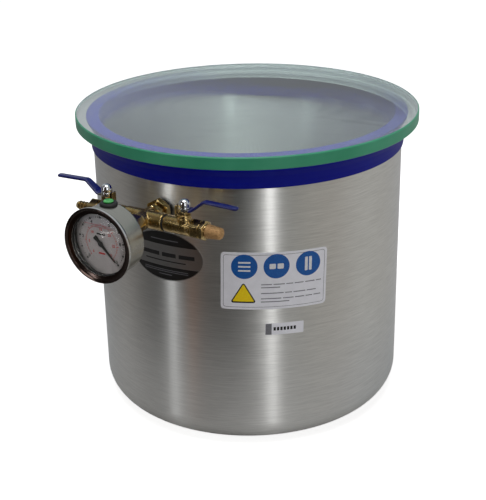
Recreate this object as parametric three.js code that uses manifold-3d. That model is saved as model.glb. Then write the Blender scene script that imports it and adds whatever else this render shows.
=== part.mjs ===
// A vacuum degassing chamber for resin: a metal pot with a silicone gasket on its rim, a glass lid,
// and a brass manifold that carries two ball valves, a silencer, a hose tail and a glycerine-filled gauge.
// Millimetres, +Z up. The origin is the centre of the pot's flat bottom. The port faces -Y.
import * as THREE from "three";
import { mergeVertices } from "three/addons/utils/BufferGeometryUtils.js";
import Module from "manifold-3d";

const wasm = await Module();
wasm.setup();

// ---- driving dimensions -------------------------------------------------------------------------
const GAP = 0.3;
const ROUND = 48;
const GAUGE_ROUND = 36;

const POT = { r: 154, wall: 4, floor: 4, height: 284, corner: 26 };
const GASKET = { top: 4, skirt: 18, inner: 147, outerTop: 160, outerLow: 155.7, bulge: 157.9, bulgeDrop: 8 };
const LID = { r: 170, thickness: 12, edge: 1 };

// Places on the port's line are distances outward from the pot's wall.
const PORT = { z: 240, tail: 6.5, bore: 4, hole: 7 };
const WASHER = { r: 10.5, outside: [0.6, 2.9], inside: [-6.8, -5] };
const NUT = { r: 12.5, thickness: 6 };
const INNER_NUT = { r: 12.5, from: -13, to: -7.1, tailEnd: -15.5 };
const HEX = { r: 9.5, from: 9.5, to: 17.5 };
const CROSS = {
  at: 26.5, r: 8.3, side: 20.4, front: 22, spigot: 6, socket: 6.3, counterbore: 8.5,
  collarR: 9.3, collarFrom: 12,
};

// Places on a valve's line are distances from the cross's centre; its heights are above that line.
const VALVE = {
  body: [22.1, 59.4], r: 7.8, grooves: [46.1, 50.6], grooveR: 7.1, hexR: 9.2,
  stem: 41.8, cavityR: 5.95, cavityFrom: 34.5, ball: 5.6, bore: 3.5,
  bossR: 5.8, bossTop: 12, glandTop: 15, sealInner: 6.3, sealOuter: 7.6, sealHalf: 0.65,
};
const SEAT = { r: 3.6, inner: [34.8, 38.6], outer: [45, 48.4], retainer: [48.6, 50.3] };
const STEM = { foot: 3.4, r: 2.4, low: 5.6, high: 22.6, clear: 2.7, packingR: 3.7 };

const LEVER = {
  base: 15.3, thick: 2.2, back: 5.8, slopeFrom: 8, slopeTo: 21, lift: 10.2, droop: 0.8, reach: 54.5,
  widthBase: 10.4, widthHandle: 7,
};
const STOP = { inner: 6.8, outer: 8.6, half: 2.5, low: 8.4, top: 19.5 };
const DOME = { flange: 5.6, flangeTop: 19.6, r: 5.3, top: 26 };
const OUTLET = { from: 60, spigotFrom: 50.6, spigotR: 5.6 };
const SILENCER = { hexR: 9.6, hexTo: 64, neckR: 6.6, neckTo: 65, bore: 3.6, end: 79.7, r0: 6.5, r1: 5.3 };
const BARB = { hexR: 6.4, hexTo: 61.6, neck: 4.4, end: 76, r: 4.2, depth: 1, bore: 2.4, ridges: 3 };

const GAUGE = {
  face: 99.6, bezelR: 33.9, bezelDepth: 6, window: 28, caseR: 31, back: 70.5, wall: 1,
  stubFrom: 37, stubR: 6.3, hexR: 8.1, hexFrom: 51, hexTo: 72.5, collarR: 8.2, bracketTo: 75.6, fillAt: 78.5,
};
const DIAL = { r: 29.5, from: 90, thick: 0.8 };
const POINTER = { reach: 20.6, tail: 8.5, from: 91.7, rest: -45 };
const TUBE = { r: 23, at: 78.2, start: 258, sweep: -288 };
const MOVEMENT = {
  module: 0.4, pinionTeeth: 8, sectorTeeth: 64, cutTeeth: 11, plates: [76.6, 82.6], plate: 0.8,
  gears: [79.2, 80.4], arbor: 0.7, arm: 7, armAngle: -30, linkEnd: [19.9, -11.5],
};

const BADGE = { z: 194, halfWidth: 39, halfHeight: 24.5 };
const SAFETY_LABEL = { centre: 39.2, width: 100.5, low: 146, high: 204.8 };
const SERIAL_LABEL = { centre: 42.2, width: 37, low: 120, high: 132 };
const LABEL = { gap: 0.15, thick: 0.4 };

// ---- derived dimensions -------------------------------------------------------------------------
const RIM = POT.height;
const GASKET_TOP = RIM + GASKET.top;
const INNER_R = POT.r - POT.wall;
const LID_TOP = GASKET_TOP + LID.thickness;
const deg = THREE.MathUtils.degToRad;

// ---- finishes -----------------------------------------------------------------------------------
const finish = (color, roughness, metalness, extra = {}) =>
  new THREE.MeshStandardMaterial({ color, roughness, metalness, ...extra });
const brushed = finish(0x9a9997, 0.35, 1);
const silicone = finish(0x04106a, 0.55, 0);
const glass = finish(0x3f8f75, 0.05, 0, { transparent: true, opacity: 0.35 });
const brass = finish(0xb08d4f, 0.3, 1);
const chrome = finish(0xc9ccd0, 0.12, 1);
const vinyl = finish(0x141a5e, 0.4, 0);
const steel = finish(0xa9abab, 0.28, 1);
const rubber = finish(0x111111, 0.8, 0);
const ptfe = finish(0xeeeeea, 0.5, 0);
const bronze = finish(0xc79a5f, 0.85, 0.6);
const dialWhite = finish(0xd8d8d8, 0.6, 0);
const black = finish(0x0a0a0a, 0.5, 0);
const green = finish(0x46a35a, 0.5, 0);
const paper = finish(0xd9d9dc, 0.5, 0);

// ---- helpers ------------------------------------------------------------------------------------
// Merges a geometry's shared points, drops collapsed faces and turns its faces outward.
function closed(geometry) {
  const source = geometry.clone();
  source.deleteAttribute("normal");
  source.deleteAttribute("uv");
  const merged = mergeVertices(source, 1e-4);
  const place = merged.getAttribute("position");
  const faces = [];
  let volume = 0;
  const [a, b, c] = [new THREE.Vector3(), new THREE.Vector3(), new THREE.Vector3()];
  for (let i = 0; i < merged.index.count; i += 3) {
    const [p, q, r] = [0, 1, 2].map((k) => merged.index.getX(i + k));
    if (p === q || q === r || r === p) continue;
    faces.push(p, q, r);
    a.fromBufferAttribute(place, p);
    b.fromBufferAttribute(place, q);
    c.fromBufferAttribute(place, r);
    volume += a.dot(b.cross(c));
  }
  if (volume < 0) faces.reverse();
  merged.setIndex(faces);
  return merged;
}

function toSolid(geometry) {
  const shell = closed(geometry);
  return new wasm.Manifold(new wasm.Mesh({
    numProp: 3,
    vertProperties: new Float32Array(shell.getAttribute("position").array),
    triVerts: new Uint32Array(shell.index.array),
  }));
}

function toGeometry(solid) {
  const { vertProperties, triVerts, numProp } = solid.getMesh();
  const points = [];
  for (let i = 0; i < vertProperties.length; i += numProp) points.push(...vertProperties.slice(i, i + 3));
  const geometry = new THREE.BufferGeometry();
  geometry.setAttribute("position", new THREE.Float32BufferAttribute(points, 3));
  geometry.setIndex([...triVerts]);
  return geometry;
}

// Joins the geometries in add, then cuts those in cut away.
function carve(add, cut = []) {
  let solid = toSolid(add[0]);
  for (const piece of add.slice(1)) solid = solid.add(toSolid(piece));
  for (const piece of cut) solid = solid.subtract(toSolid(piece));
  return toGeometry(solid);
}

const overlap = (one, other) => toGeometry(toSolid(one).intersect(toSolid(other)));

// A turned piece about +Z: the outline is a list of [radius, height].
function turned(outline, segments = 16) {
  const closesOnAxis = outline[0][0] === 0;
  const points = outline.map(([r, z]) => new THREE.Vector2(r, z));
  if (!closesOnAxis) points.push(points[0].clone());
  return closed(new THREE.LatheGeometry(points, segments).rotateX(Math.PI / 2));
}

// A ring or tube about +Z.
const ring = (inner, outer, low, high, segments = 16) =>
  turned([[inner, low], [outer, low], [outer, high], [inner, high]], segments);

// A disc, rod or cone about +Z.
const rod = (r, low, high, segments = 16, rTop = r) =>
  turned([[0, low], [r, low], [rTop, high], [0, high]], segments);

// A hexagonal bar about +Z, with two of its corners on the Y axis.
const hexagon = (r, low, high) =>
  new THREE.CylinderGeometry(r, r, high - low, 6).rotateX(Math.PI / 2).translate(0, 0, (low + high) / 2);

const box = (x0, x1, y0, y1, z0, z1) =>
  new THREE.BoxGeometry(x1 - x0, y1 - y0, z1 - z0).translate((x0 + x1) / 2, (y0 + y1) / 2, (z0 + z1) / 2);

// Points of an arc, for outlines.
function arc(cx, cy, r, from, to, steps) {
  return Array.from({ length: steps + 1 }, (_, i) => {
    const a = deg(from + ((to - from) * i) / steps);
    return [cx + r * Math.cos(a), cy + r * Math.sin(a)];
  });
}

const outline = (points) => new THREE.Shape(points.map(([x, y]) => new THREE.Vector2(x, y)));
const plate = (points, low, high) =>
  new THREE.ExtrudeGeometry(outline(points), { depth: high - low, bevelEnabled: false }).translate(0, 0, low);

// Lays a piece that is modelled along +Z along +X.
const alongX = (geometry) => geometry.rotateY(Math.PI / 2);

const root = new THREE.Group();
root.name = "vacuum_degassing_chamber";

function add(parent, name, geometry, material) {
  const mesh = new THREE.Mesh(geometry, material);
  mesh.name = name;
  parent.add(mesh);
  return mesh;
}

// ---- pot, gasket and lid ------------------------------------------------------------------------
// Pieces on the port's line are modelled along +Z from the wall's outer face, then laid along -Y.
const portLine = new THREE.Group();
portLine.position.set(0, -POT.r, PORT.z);
portLine.rotation.x = Math.PI / 2;
root.add(portLine);

function makePot() {
  const inside = POT.corner - POT.floor;
  const shell = turned([
    [0, 0],
    ...arc(POT.r - POT.corner, POT.corner, POT.corner, -90, 0, 6),
    [POT.r, RIM], [INNER_R, RIM],
    ...arc(INNER_R - inside, POT.corner, inside, 0, -90, 6),
    [0, POT.floor],
  ], ROUND);
  const hole = rod(PORT.hole, 0, 20).rotateX(Math.PI / 2).translate(0, -POT.r + 10, PORT.z);
  add(root, "pot", carve([shell], [hole]), brushed);
}

function makeGasket() {
  const low = RIM - GASKET.skirt;
  const profile = [
    [GASKET.inner, low], [INNER_R - GAP, low], [INNER_R - GAP, RIM], [POT.r + GAP, RIM],
    [POT.r + GAP, low], [GASKET.outerLow, low], [GASKET.bulge, RIM - GASKET.bulgeDrop],
    [GASKET.outerTop - 0.4, RIM - 1],
    [GASKET.outerTop, GASKET_TOP - 1.2], [GASKET.outerTop - 1, GASKET_TOP],
    [GASKET.inner + 1, GASKET_TOP], [GASKET.inner, GASKET_TOP - 1],
  ];
  add(root, "rim_gasket", turned(profile, ROUND), silicone);
}

function makeLid() {
  const profile = [
    [0, GASKET_TOP], [LID.r - LID.edge, GASKET_TOP], [LID.r, GASKET_TOP + LID.edge],
    [LID.r, LID_TOP - LID.edge], [LID.r - LID.edge, LID_TOP], [0, LID_TOP],
  ];
  add(root, "glass_lid", turned(profile, ROUND), glass);
}

// ---- port through the wall ----------------------------------------------------------------------
function makePort() {
  const end = INNER_NUT.tailEnd;
  const tail = rod(PORT.tail, end, HEX.from);
  const head = hexagon(HEX.r, HEX.from, HEX.to);
  const passage = rod(PORT.bore, end - 1, HEX.to + 1);
  const socket = rod(CROSS.socket, HEX.to - 6, HEX.to + 1);
  add(portLine, "port_fitting", carve([tail, head], [passage, socket]), brass);
  const clear = rod(PORT.tail + GAP, end - 1, HEX.from + 1);
  const nutEnd = HEX.from - GAP;
  const outerNut = hexagon(NUT.r, nutEnd - NUT.thickness, nutEnd);
  add(portLine, "port_outer_nut", carve([outerNut], [clear]), brass);
  add(portLine, "port_outer_washer", ring(PORT.tail + GAP, WASHER.r, ...WASHER.outside), rubber);
  add(portLine, "port_inner_washer", ring(PORT.tail + GAP, WASHER.r, ...WASHER.inside), rubber);
  const innerNut = hexagon(INNER_NUT.r, INNER_NUT.from, INNER_NUT.to);
  add(portLine, "port_inner_nut", carve([innerNut], [clear]), brass);
}

// The cross joins the port, both valves and the gauge.
function makeCross() {
  const back = HEX.to + GAP;
  const front = CROSS.at + CROSS.front;
  const across = (r, low, high) => alongX(rod(r, low, high)).translate(0, 0, CROSS.at);
  const solid = [
    rod(CROSS.r, back, front),
    rod(CROSS.spigot, HEX.to - 5, back + 1),
    across(CROSS.r, -CROSS.side, CROSS.side),
    hexagon(CROSS.collarR, CROSS.at + CROSS.collarFrom, front),
  ];
  const bores = [
    rod(PORT.bore, 0, front + 1),
    across(PORT.bore, -CROSS.side - 1, CROSS.side + 1),
    across(CROSS.socket, CROSS.side - CROSS.counterbore, CROSS.side + 1),
    across(CROSS.socket, -CROSS.side - 1, -CROSS.side + CROSS.counterbore),
    rod(GAUGE.stubR + GAP, GAUGE.stubFrom - GAP, front + 1),
  ];
  add(portLine, "cross_fitting", carve(solid, bores), brass);
}

// ---- ball valves --------------------------------------------------------------------------------
// A valve is modelled in a frame at the cross's centre: its flow runs along +X and its stem along +Z.
function valveFrame(turn) {
  const frame = new THREE.Group();
  frame.position.set(0, -POT.r - CROSS.at, PORT.z);
  frame.rotation.z = turn;
  root.add(frame);
  return frame;
}

const onStem = (geometry) => geometry.translate(VALVE.stem, 0, 0);

function valveBody() {
  const [start, end] = VALVE.body;
  const [low, high] = VALVE.grooves;
  const spigotEnd = CROSS.side - CROSS.counterbore + 1;
  const barrel = alongX(turned([
    [0, spigotEnd], [CROSS.spigot, spigotEnd], [CROSS.spigot, start],
    [VALVE.r - 0.5, start], [VALVE.r, start + 0.6], [VALVE.r, low],
    [VALVE.grooveR, low], [VALVE.grooveR, low + 1.4], [VALVE.r, low + 1.7], [VALVE.r, low + 2.7],
    [VALVE.grooveR, low + 3], [VALVE.grooveR, high + 1], [0, high + 1],
  ]));
  const wrench = alongX(hexagon(VALVE.hexR, high, end));
  const boss = onStem(rod(VALVE.bossR, 4.5, VALVE.bossTop));
  const stop = [
    onStem(box(-STOP.outer, -4.5, -STOP.half, STOP.half, STOP.low, STOP.low + 2.4)),
    onStem(box(-STOP.outer, -STOP.inner, -STOP.half, STOP.half, STOP.low, STOP.top)),
  ];
  const cuts = [
    alongX(rod(PORT.bore, 0, end + 1)),
    alongX(rod(VALVE.cavityR, VALVE.cavityFrom, end + 1)),
    onStem(rod(STEM.foot + GAP, 3, 7.4)),
    onStem(rod(STEM.clear, 0, VALVE.bossTop + 1)),
    onStem(rod(STEM.packingR + GAP, 8.1, VALVE.bossTop + 1)),
  ];
  return carve([barrel, wrench, boss, ...stop], cuts);
}

const ballSpace = () => onStem(new THREE.SphereGeometry(VALVE.ball + 0.2, 14, 10));

const seatRing = ([low, high]) => alongX(ring(SEAT.r, VALVE.cavityR - GAP, low, high));
const valveSeat = (place) => carve([seatRing(place)], [ballSpace()]);

function valveBall() {
  const sphere = onStem(new THREE.SphereGeometry(VALVE.ball, 14, 10));
  const passage = alongX(rod(VALVE.bore, VALVE.stem - 8, VALVE.stem + 8));
  const slot = box(VALVE.stem - 4, VALVE.stem + 4, -1.2, 1.2, 4.4, 7);
  return carve([sphere], [passage, slot]);
}

function valveStem() {
  const { foot, r, low, high } = STEM;
  const shaft = turned([[0, low], [foot, low], [foot, low + 1.5], [r, low + 1.7], [r, high], [0, high]]);
  const tang = box(-2.2, 2.2, -0.9, 0.9, 4.7, 6);
  return onStem(carve([shaft, tang]));
}

function glandNut() {
  const nut = hexagon(VALVE.bossR - 0.1, VALVE.bossTop + 0.2, VALVE.glandTop);
  const nose = rod(STEM.packingR, 10, VALVE.bossTop + 1);
  return onStem(carve([nut, nose], [rod(STEM.clear, 9, VALVE.glandTop + 1)]));
}

// The lever is a bent flat strip: a side profile, cut to its outline as seen from above.
function lever() {
  const { base, thick, back, slopeFrom, slopeTo, lift, droop, reach, widthBase, widthHandle } = LEVER;
  const side = [
    [-back, base], [slopeFrom, base], [slopeTo, base + lift], [reach, base + lift - droop],
    [reach, base + lift + thick - droop], [slopeTo - 0.6, base + lift + thick],
    [slopeFrom - 0.9, base + thick], [-back, base + thick],
  ];
  const strip = plate(side, -10, 10).rotateX(Math.PI / 2);
  const [wide, slim] = [widthBase / 2, widthHandle / 2];
  const plan = [
    ...arc(0, 0, wide + 0.4, 115, 245, 8), [slopeFrom, -wide], [slopeTo + 3, -slim],
    ...arc(reach - slim, 0, slim, -90, 90, 8), [slopeTo + 3, slim], [slopeFrom, wide],
  ];
  const cutOut = plate(plan, 0, 40);
  return onStem(carve([overlap(strip, cutOut)], [rod(STEM.clear, 10, 22)]));
}

function domeNut() {
  const low = LEVER.base + LEVER.thick + 0.1;
  const shell = turned([
    [0, low], [DOME.flange, low], [DOME.flange, DOME.flangeTop - 1.2], [DOME.r, DOME.flangeTop],
    ...arc(0, DOME.top - DOME.r, DOME.r, 0, 90, 5).slice(0, -1), [0, DOME.top],
  ], 18);
  return onStem(carve([shell], [rod(STEM.clear, low - 1, STEM.high + 0.4)]));
}

function makeValve(side, turn) {
  const frame = valveFrame(turn);
  const put = (name, geometry, material) => add(frame, side + "_" + name, geometry, material);
  const sealMiddle = (CROSS.side + VALVE.body[0]) / 2;
  const { sealInner, sealOuter, sealHalf } = VALVE;
  const seal = ring(sealInner, sealOuter, sealMiddle - sealHalf, sealMiddle + sealHalf);
  put("joint_seal", alongX(seal), rubber);
  put("valve_body", valveBody(), brass);
  put("inner_seat", valveSeat(SEAT.inner), ptfe);
  put("outer_seat", valveSeat(SEAT.outer), ptfe);
  put("seat_retainer", seatRing(SEAT.retainer), brass);
  put("ball", valveBall(), chrome);
  put("stem", valveStem(), brass);
  put("stem_packing", onStem(ring(STEM.clear, STEM.packingR, 8.3, 9.8)), ptfe);
  put("gland_nut", glandNut(), brass);
  put("lever", lever(), vinyl);
  put("dome_nut", domeNut(), chrome);
  return frame;
}

function makeSilencer(frame) {
  const spigot = rod(OUTLET.spigotR, OUTLET.spigotFrom, OUTLET.from + 1);
  const head = hexagon(SILENCER.hexR, OUTLET.from, SILENCER.hexTo);
  const neck = rod(SILENCER.neckR, SILENCER.hexTo - 1, SILENCER.neckTo);
  const passage = rod(SILENCER.bore, OUTLET.spigotFrom - 1, SILENCER.neckTo + 1);
  add(frame, "silencer_body", alongX(carve([spigot, head, neck], [passage])), brass);
  const start = SILENCER.neckTo + 0.1;
  const { end, bore, r0, r1 } = SILENCER;
  const cup = turned([
    [0, end - 4], [bore, end - 5], [bore, start], [r0, start], [r1, end - 1.2], [r1 - 1.2, end], [0, end],
  ]);
  add(frame, "silencer_sinter", alongX(cup), bronze);
}

function makeHoseBarb(frame) {
  const { hexR, hexTo, neck, end, r, depth, bore, ridges } = BARB;
  const pitch = (end - hexTo - neck) / ridges;
  const ridge = Array.from({ length: ridges }, (_, i) => hexTo + neck + i * pitch);
  const spigot = rod(OUTLET.spigotR, OUTLET.spigotFrom, OUTLET.from + 1);
  const head = hexagon(hexR, OUTLET.from, hexTo);
  const tail = turned([
    [0, hexTo - 1], [r - depth, hexTo - 1],
    ...ridge.flatMap((z) => [[r, z + 0.1], [r - depth, z + pitch - 0.1]]), [0, end],
  ]);
  const passage = rod(bore, OUTLET.spigotFrom - 1, end + 1);
  add(frame, "hose_barb", alongX(carve([spigot, head, tail], [passage])), brass);
}

// ---- gauge --------------------------------------------------------------------------------------
function makeGaugeShell() {
  const { face, bezelR, bezelDepth, window, caseR, back, wall } = GAUGE;
  const rim = face - bezelDepth;
  const shell = ring(0, caseR, back, rim, GAUGE_ROUND);
  const hollow = rod(caseR - wall, back + 1.2, rim + 1, GAUGE_ROUND);
  const entry = rod(GAUGE.hexR + 0.4, back - 1, back + 3, 24);
  const filler = fillPlace(rod(5.3, -6, 6));
  add(portLine, "gauge_case", carve([shell], [hollow, entry, filler]), steel);
  const bezel = turned([
    [caseR - 1, rim + 0.2], [caseR + 1.2, rim + 0.2], [bezelR - 0.8, rim + 2], [bezelR, rim + 3.4],
    [bezelR, face - 0.8], [bezelR - 0.7, face], [bezelR - 1.6, face - 0.1], [window, face - 2.8],
    [window, face - 3.6], [caseR - 1, face - 3.6],
  ], GAUGE_ROUND);
  add(portLine, "gauge_bezel", bezel, chrome);
  add(portLine, "gauge_window", rod(caseR - 1.3, face - 6, face - 3.8, GAUGE_ROUND), glass);
  add(portLine, "window_seal", ring(window - 0.4, caseR - 1.3, face - 7.4, face - 6.2, GAUGE_ROUND), rubber);
  const dial = rod(DIAL.r, DIAL.from, DIAL.from + DIAL.thick, GAUGE_ROUND);
  const dialHole = rod(2 * MOVEMENT.arbor, DIAL.from - 5, DIAL.from + 5);
  add(portLine, "gauge_dial", carve([dial], [dialHole]), dialWhite);
}

// Places a piece modelled about +Z on top of the gauge's case, where it is filled.
function fillPlace(geometry) {
  return geometry.rotateX(-Math.PI / 2).translate(0, GAUGE.caseR, GAUGE.fillAt);
}

function makeFillPlug() {
  const profile = [[0, -2.4], [5, -2.4], [5, 0.4], [7.8, -1.8], [7.8, 1], [7, 2.2], [0, 2.2]];
  const disc = fillPlace(turned(profile, 20));
  const caseRound = rod(GAUGE.caseR + 0.2, 60, 100, GAUGE_ROUND);
  const outside = carve([disc], [caseRound]);
  const stopper = fillPlace(rod(4.9, -2.4, 1, 20));
  const pocket = fillPlace(rod(3.2, 0.9, 5, 20));
  add(portLine, "fill_plug", carve([outside, stopper], [pocket]), rubber);
  const cap = turned([[0, 1.1], [2.9, 1.1], [2.9, 2.5], [4.4, 2.5], [4.4, 3.2], [3.7, 3.8], [0, 3.8]], 24);
  add(portLine, "vent_cap", fillPlace(cap), green);
}

function makeGaugeSocket() {
  const frontOfCross = CROSS.at + CROSS.front;
  const stem = [
    rod(GAUGE.stubR, GAUGE.stubFrom, frontOfCross + 1),
    rod(GAUGE.collarR, frontOfCross + GAP, GAUGE.hexFrom + 1),
    hexagon(GAUGE.hexR, GAUGE.hexFrom, GAUGE.hexTo),
    box(-5, 5, -27, 6, GAUGE.hexTo - 0.5, GAUGE.bracketTo),
  ];
  const passage = rod(2, GAUGE.stubFrom - 1, GAUGE.bracketTo - 1.6, 12);
  add(portLine, "gauge_socket", carve(stem, [passage]), brass);
}

// A flattened tube bent into most of a circle. Its closed tip moves as the pressure falls.
function makeBourdonTube() {
  class Bend extends THREE.Curve {
    getPoint(t) {
      const a = deg(TUBE.start + TUBE.sweep * t);
      return new THREE.Vector3(TUBE.r * Math.cos(a), TUBE.r * Math.sin(a), TUBE.at);
    }
  }
  const section = outline([[-1.8, -0.8], [1.8, -0.8], [2.3, 0], [1.8, 0.8], [-1.8, 0.8], [-2.3, 0]]);
  const settings = { steps: 30, bevelEnabled: false, extrudePath: new Bend() };
  const tube = new THREE.ExtrudeGeometry(section, settings);
  const foot = box(-6.4, -4, -25.2, -21.4, 75.9, 79.4);
  add(portLine, "bourdon_tube", carve([tube, foot]), brass);
}

// Slim straight-sided teeth, spaced by the module. Angles are in degrees.
function toothedArc(teeth, module, first, count, from) {
  const step = 360 / teeth;
  const pitchR = (module * teeth) / 2;
  const [foot, tip] = [pitchR - 1.1 * module, pitchR + 0.8 * module];
  return Array.from({ length: count }, (_, i) => {
    const middle = from + (first + i) * step;
    return [[foot, -0.24], [tip, -0.1], [tip, 0.1], [foot, 0.24]].map(([r, part]) => {
      const a = deg(middle + part * step);
      return [r * Math.cos(a), r * Math.sin(a)];
    });
  }).flat();
}

// The sector gear turns the pinion on the pointer's arbor, and a link joins the sector to the tube's tip.
function makeMovement() {
  const { module, pinionTeeth, sectorTeeth, cutTeeth, gears, plates, arbor, arm, armAngle } = MOVEMENT;
  const pivot = (-module * (pinionTeeth + sectorTeeth)) / 2;
  const [low, high] = gears;
  const pinion = plate(toothedArc(pinionTeeth, module, 0.5, pinionTeeth, -90), low - 0.4, high + 0.6);
  const shaft = rod(arbor, plates[0] - 0.4, POINTER.from - 0.2, 12);
  add(portLine, "pointer_pinion", carve([shaft, pinion]), brass);
  const fan = [[0, 0], ...toothedArc(sectorTeeth, module, -2, cutTeeth, 90)];
  const pin = [arm * Math.cos(deg(armAngle)), arm * Math.sin(deg(armAngle))];
  const sector = [
    plate(fan, low, high), rod(2.4, low, high), rod(arbor, plates[0] - 0.4, plates[1] + 0.4, 12),
    box(0, arm, -1, 1, low, high).rotateZ(deg(armAngle)),
    rod(0.6, low + 0.3, high + 1.8, 12).translate(...pin, 0),
  ];
  add(portLine, "sector_gear", carve(sector).translate(0, pivot, 0), brass);
  makeLink([pin[0], pin[1] + pivot], high + 0.6);
  makeMovementFrame(pivot);
}

function makeLink(pin, low) {
  const end = MOVEMENT.linkEnd;
  const high = low + 0.7;
  const length = Math.hypot(end[0] - pin[0], end[1] - pin[1]);
  const slope = Math.atan2(end[1] - pin[1], end[0] - pin[0]);
  const bar = box(-1.4, length, -0.7, 0.7, low, high).rotateZ(slope).translate(...pin, 0);
  const eye = rod(1.4, low, high).translate(...pin, 0);
  const hole = rod(0.8, low - 1, high + 1, 12).translate(...pin, 0);
  add(portLine, "connecting_link", carve([bar, eye], [hole]), brass);
}

function makeMovementFrame(pivot) {
  const [back, front] = MOVEMENT.plates;
  const sheet = (low) => box(-9, 9, pivot - 4.6, 8, low, low + MOVEMENT.plate);
  const pillars = [[-7.5, 6.5], [7.5, 6.5], [-7.5, pivot - 3.1]];
  const solid = [
    sheet(back), sheet(front),
    ...pillars.map(([x, y]) => rod(1.2, GAUGE.bracketTo + GAP, front + 0.4, 12).translate(x, y, 0)),
  ];
  const holes = [rod(1, 70, 90, 12), rod(1, 70, 90, 12).translate(0, pivot, 0)];
  add(portLine, "movement_frame", carve(solid, holes), brass);
}

function makePointer() {
  const { reach, tail, from, rest } = POINTER;
  const hub = rod(2.6, from, from + 1.4, 24);
  const upper = [[reach, 0.25], [2, 1], [-2, 1.3], [-tail, 1.9]];
  const lower = upper.map(([x, y]) => [x, -y]).reverse();
  const arm = plate([...lower, ...upper], from + 0.2, from + 0.8).rotateZ(deg(rest));
  add(portLine, "pointer", carve([hub, arm]), black);
}

// ---- labels on the wall -------------------------------------------------------------------------
// A thin sheet bent round the wall, centred at an angle from -Y towards +X.
function bentSheet(centre, width, low, high) {
  const r = POT.r + LABEL.gap;
  const half = THREE.MathUtils.radToDeg(width / 2 / POT.r);
  const middle = centre - 90;
  const steps = Math.max(6, Math.round(half / 2));
  return plate([
    ...arc(0, 0, r, middle - half, middle + half, steps),
    ...arc(0, 0, r + LABEL.thick, middle + half, middle - half, steps),
  ], low, high);
}

function makeLabels() {
  const { z, halfWidth, halfHeight } = BADGE;
  const sheet = bentSheet(0, 2 * halfWidth, z - halfHeight, z + halfHeight);
  const spread = POT.r * Math.sin(halfWidth / POT.r);
  const oval = new THREE.CylinderGeometry(1, 1, 40, 32).scale(spread, 1, halfHeight);
  add(root, "badge", overlap(sheet, oval.translate(0, -POT.r, z)), black);
  const { centre, width, low, high } = SAFETY_LABEL;
  add(root, "safety_label", bentSheet(centre, width, low, high), paper);
  const small = SERIAL_LABEL;
  add(root, "serial_label", bentSheet(small.centre, small.width, small.low, small.high), paper);
}

// ---- assembly -----------------------------------------------------------------------------------
makePot();
makeGasket();
makeLid();
makePort();
makeCross();
makeSilencer(makeValve("right", 0));
makeHoseBarb(makeValve("left", Math.PI));
makeGaugeShell();
makeFillPlug();
makeGaugeSocket();
makeBourdonTube();
makeMovement();
makePointer();
makeLabels();

export default root;
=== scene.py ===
"""A vacuum degassing chamber: its looks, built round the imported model.

Lengths are in millimetres inside the shape functions, and every mesh is scaled to metres when it is made.
"""
import math

import bmesh
import bpy
from mathutils import Matrix, Vector, noise


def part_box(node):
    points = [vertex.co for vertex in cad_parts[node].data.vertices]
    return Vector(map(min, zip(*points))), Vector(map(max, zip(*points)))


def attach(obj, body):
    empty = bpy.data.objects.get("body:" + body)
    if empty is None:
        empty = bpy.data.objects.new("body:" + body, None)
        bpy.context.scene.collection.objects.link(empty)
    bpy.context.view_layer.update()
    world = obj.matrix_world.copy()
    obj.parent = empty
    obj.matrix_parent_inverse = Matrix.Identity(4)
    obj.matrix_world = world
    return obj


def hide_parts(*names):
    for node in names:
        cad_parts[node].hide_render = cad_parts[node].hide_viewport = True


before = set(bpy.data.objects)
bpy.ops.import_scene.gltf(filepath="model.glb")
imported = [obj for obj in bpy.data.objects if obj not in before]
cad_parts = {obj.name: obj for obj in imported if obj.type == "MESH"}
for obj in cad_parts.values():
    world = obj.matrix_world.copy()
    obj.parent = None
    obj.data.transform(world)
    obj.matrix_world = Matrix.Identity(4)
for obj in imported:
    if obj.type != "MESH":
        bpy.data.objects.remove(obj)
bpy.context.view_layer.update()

MM = 0.001
TAU = 2 * math.pi


# ---- places taken from the frame, in millimetres -------------------------------------------------
def node_box(node):
    low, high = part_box(node)
    return low / MM, high / MM


POT_HIGH = node_box("pot")[1]
GASKET_LOW, GASKET_HIGH = node_box("rim_gasket")
LID_LOW, LID_HIGH = node_box("glass_lid")
WALL_R = POT_HIGH.x
WALL = 4
INNER_R = WALL_R - WALL


def outward(node):
    """A node's near and far distances from the pot's wall, along the port's line."""
    low, high = node_box(node)
    return -WALL_R - high.y, -WALL_R - low.y


RIM_Z = POT_HIGH.z
LID_R = LID_HIGH.x

NUT_LOW, NUT_HIGH = node_box("port_outer_nut")
PORT_Z = (NUT_LOW.z + NUT_HIGH.z) / 2
CROSS_OUT = sum(outward("right_joint_seal")) / 2
STEM_X = sum(v.x for v in node_box("right_stem")) / 2
GAUGE_FACE = outward("gauge_bezel")[1]
BEZEL_R = node_box("gauge_bezel")[1].x
CASE_R = node_box("gauge_case")[1].x
CASE_BACK = outward("gauge_case")[0]

# Local frames: a piece is modelled round its own +Z, then laid on one of these.
UPRIGHT = Matrix.Identity(4)
PORT_LINE = Matrix.Translation((0, -WALL_R, PORT_Z)) @ Matrix.Rotation(math.pi / 2, 4, "X")


def valve_frame(turn):
    return Matrix.Translation((0, -WALL_R - CROSS_OUT, PORT_Z)) @ Matrix.Rotation(turn, 4, "Z")


ALONG_X = Matrix.Rotation(math.pi / 2, 4, "Y")
ON_STEM = Matrix.Translation((STEM_X, 0, 0))


# ---- mesh helpers --------------------------------------------------------------------------------
def in_scene(name, data):
    """A new object in the scene that shows the data."""
    made = bpy.data.objects.new(name, data)
    bpy.context.scene.collection.objects.link(made)
    return made


def new_piece(name, bm, matrix=UPRIGHT):
    """Turns a bmesh in millimetres into an object in metres, laid on a local frame."""
    bmesh.ops.remove_doubles(bm, verts=bm.verts, dist=1e-5)
    bmesh.ops.recalc_face_normals(bm, faces=bm.faces)
    bm.transform(Matrix.Scale(MM, 4) @ matrix)
    mesh = bpy.data.meshes.new(name)
    bm.to_mesh(mesh)
    bm.free()
    return in_scene(name, mesh)


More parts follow.
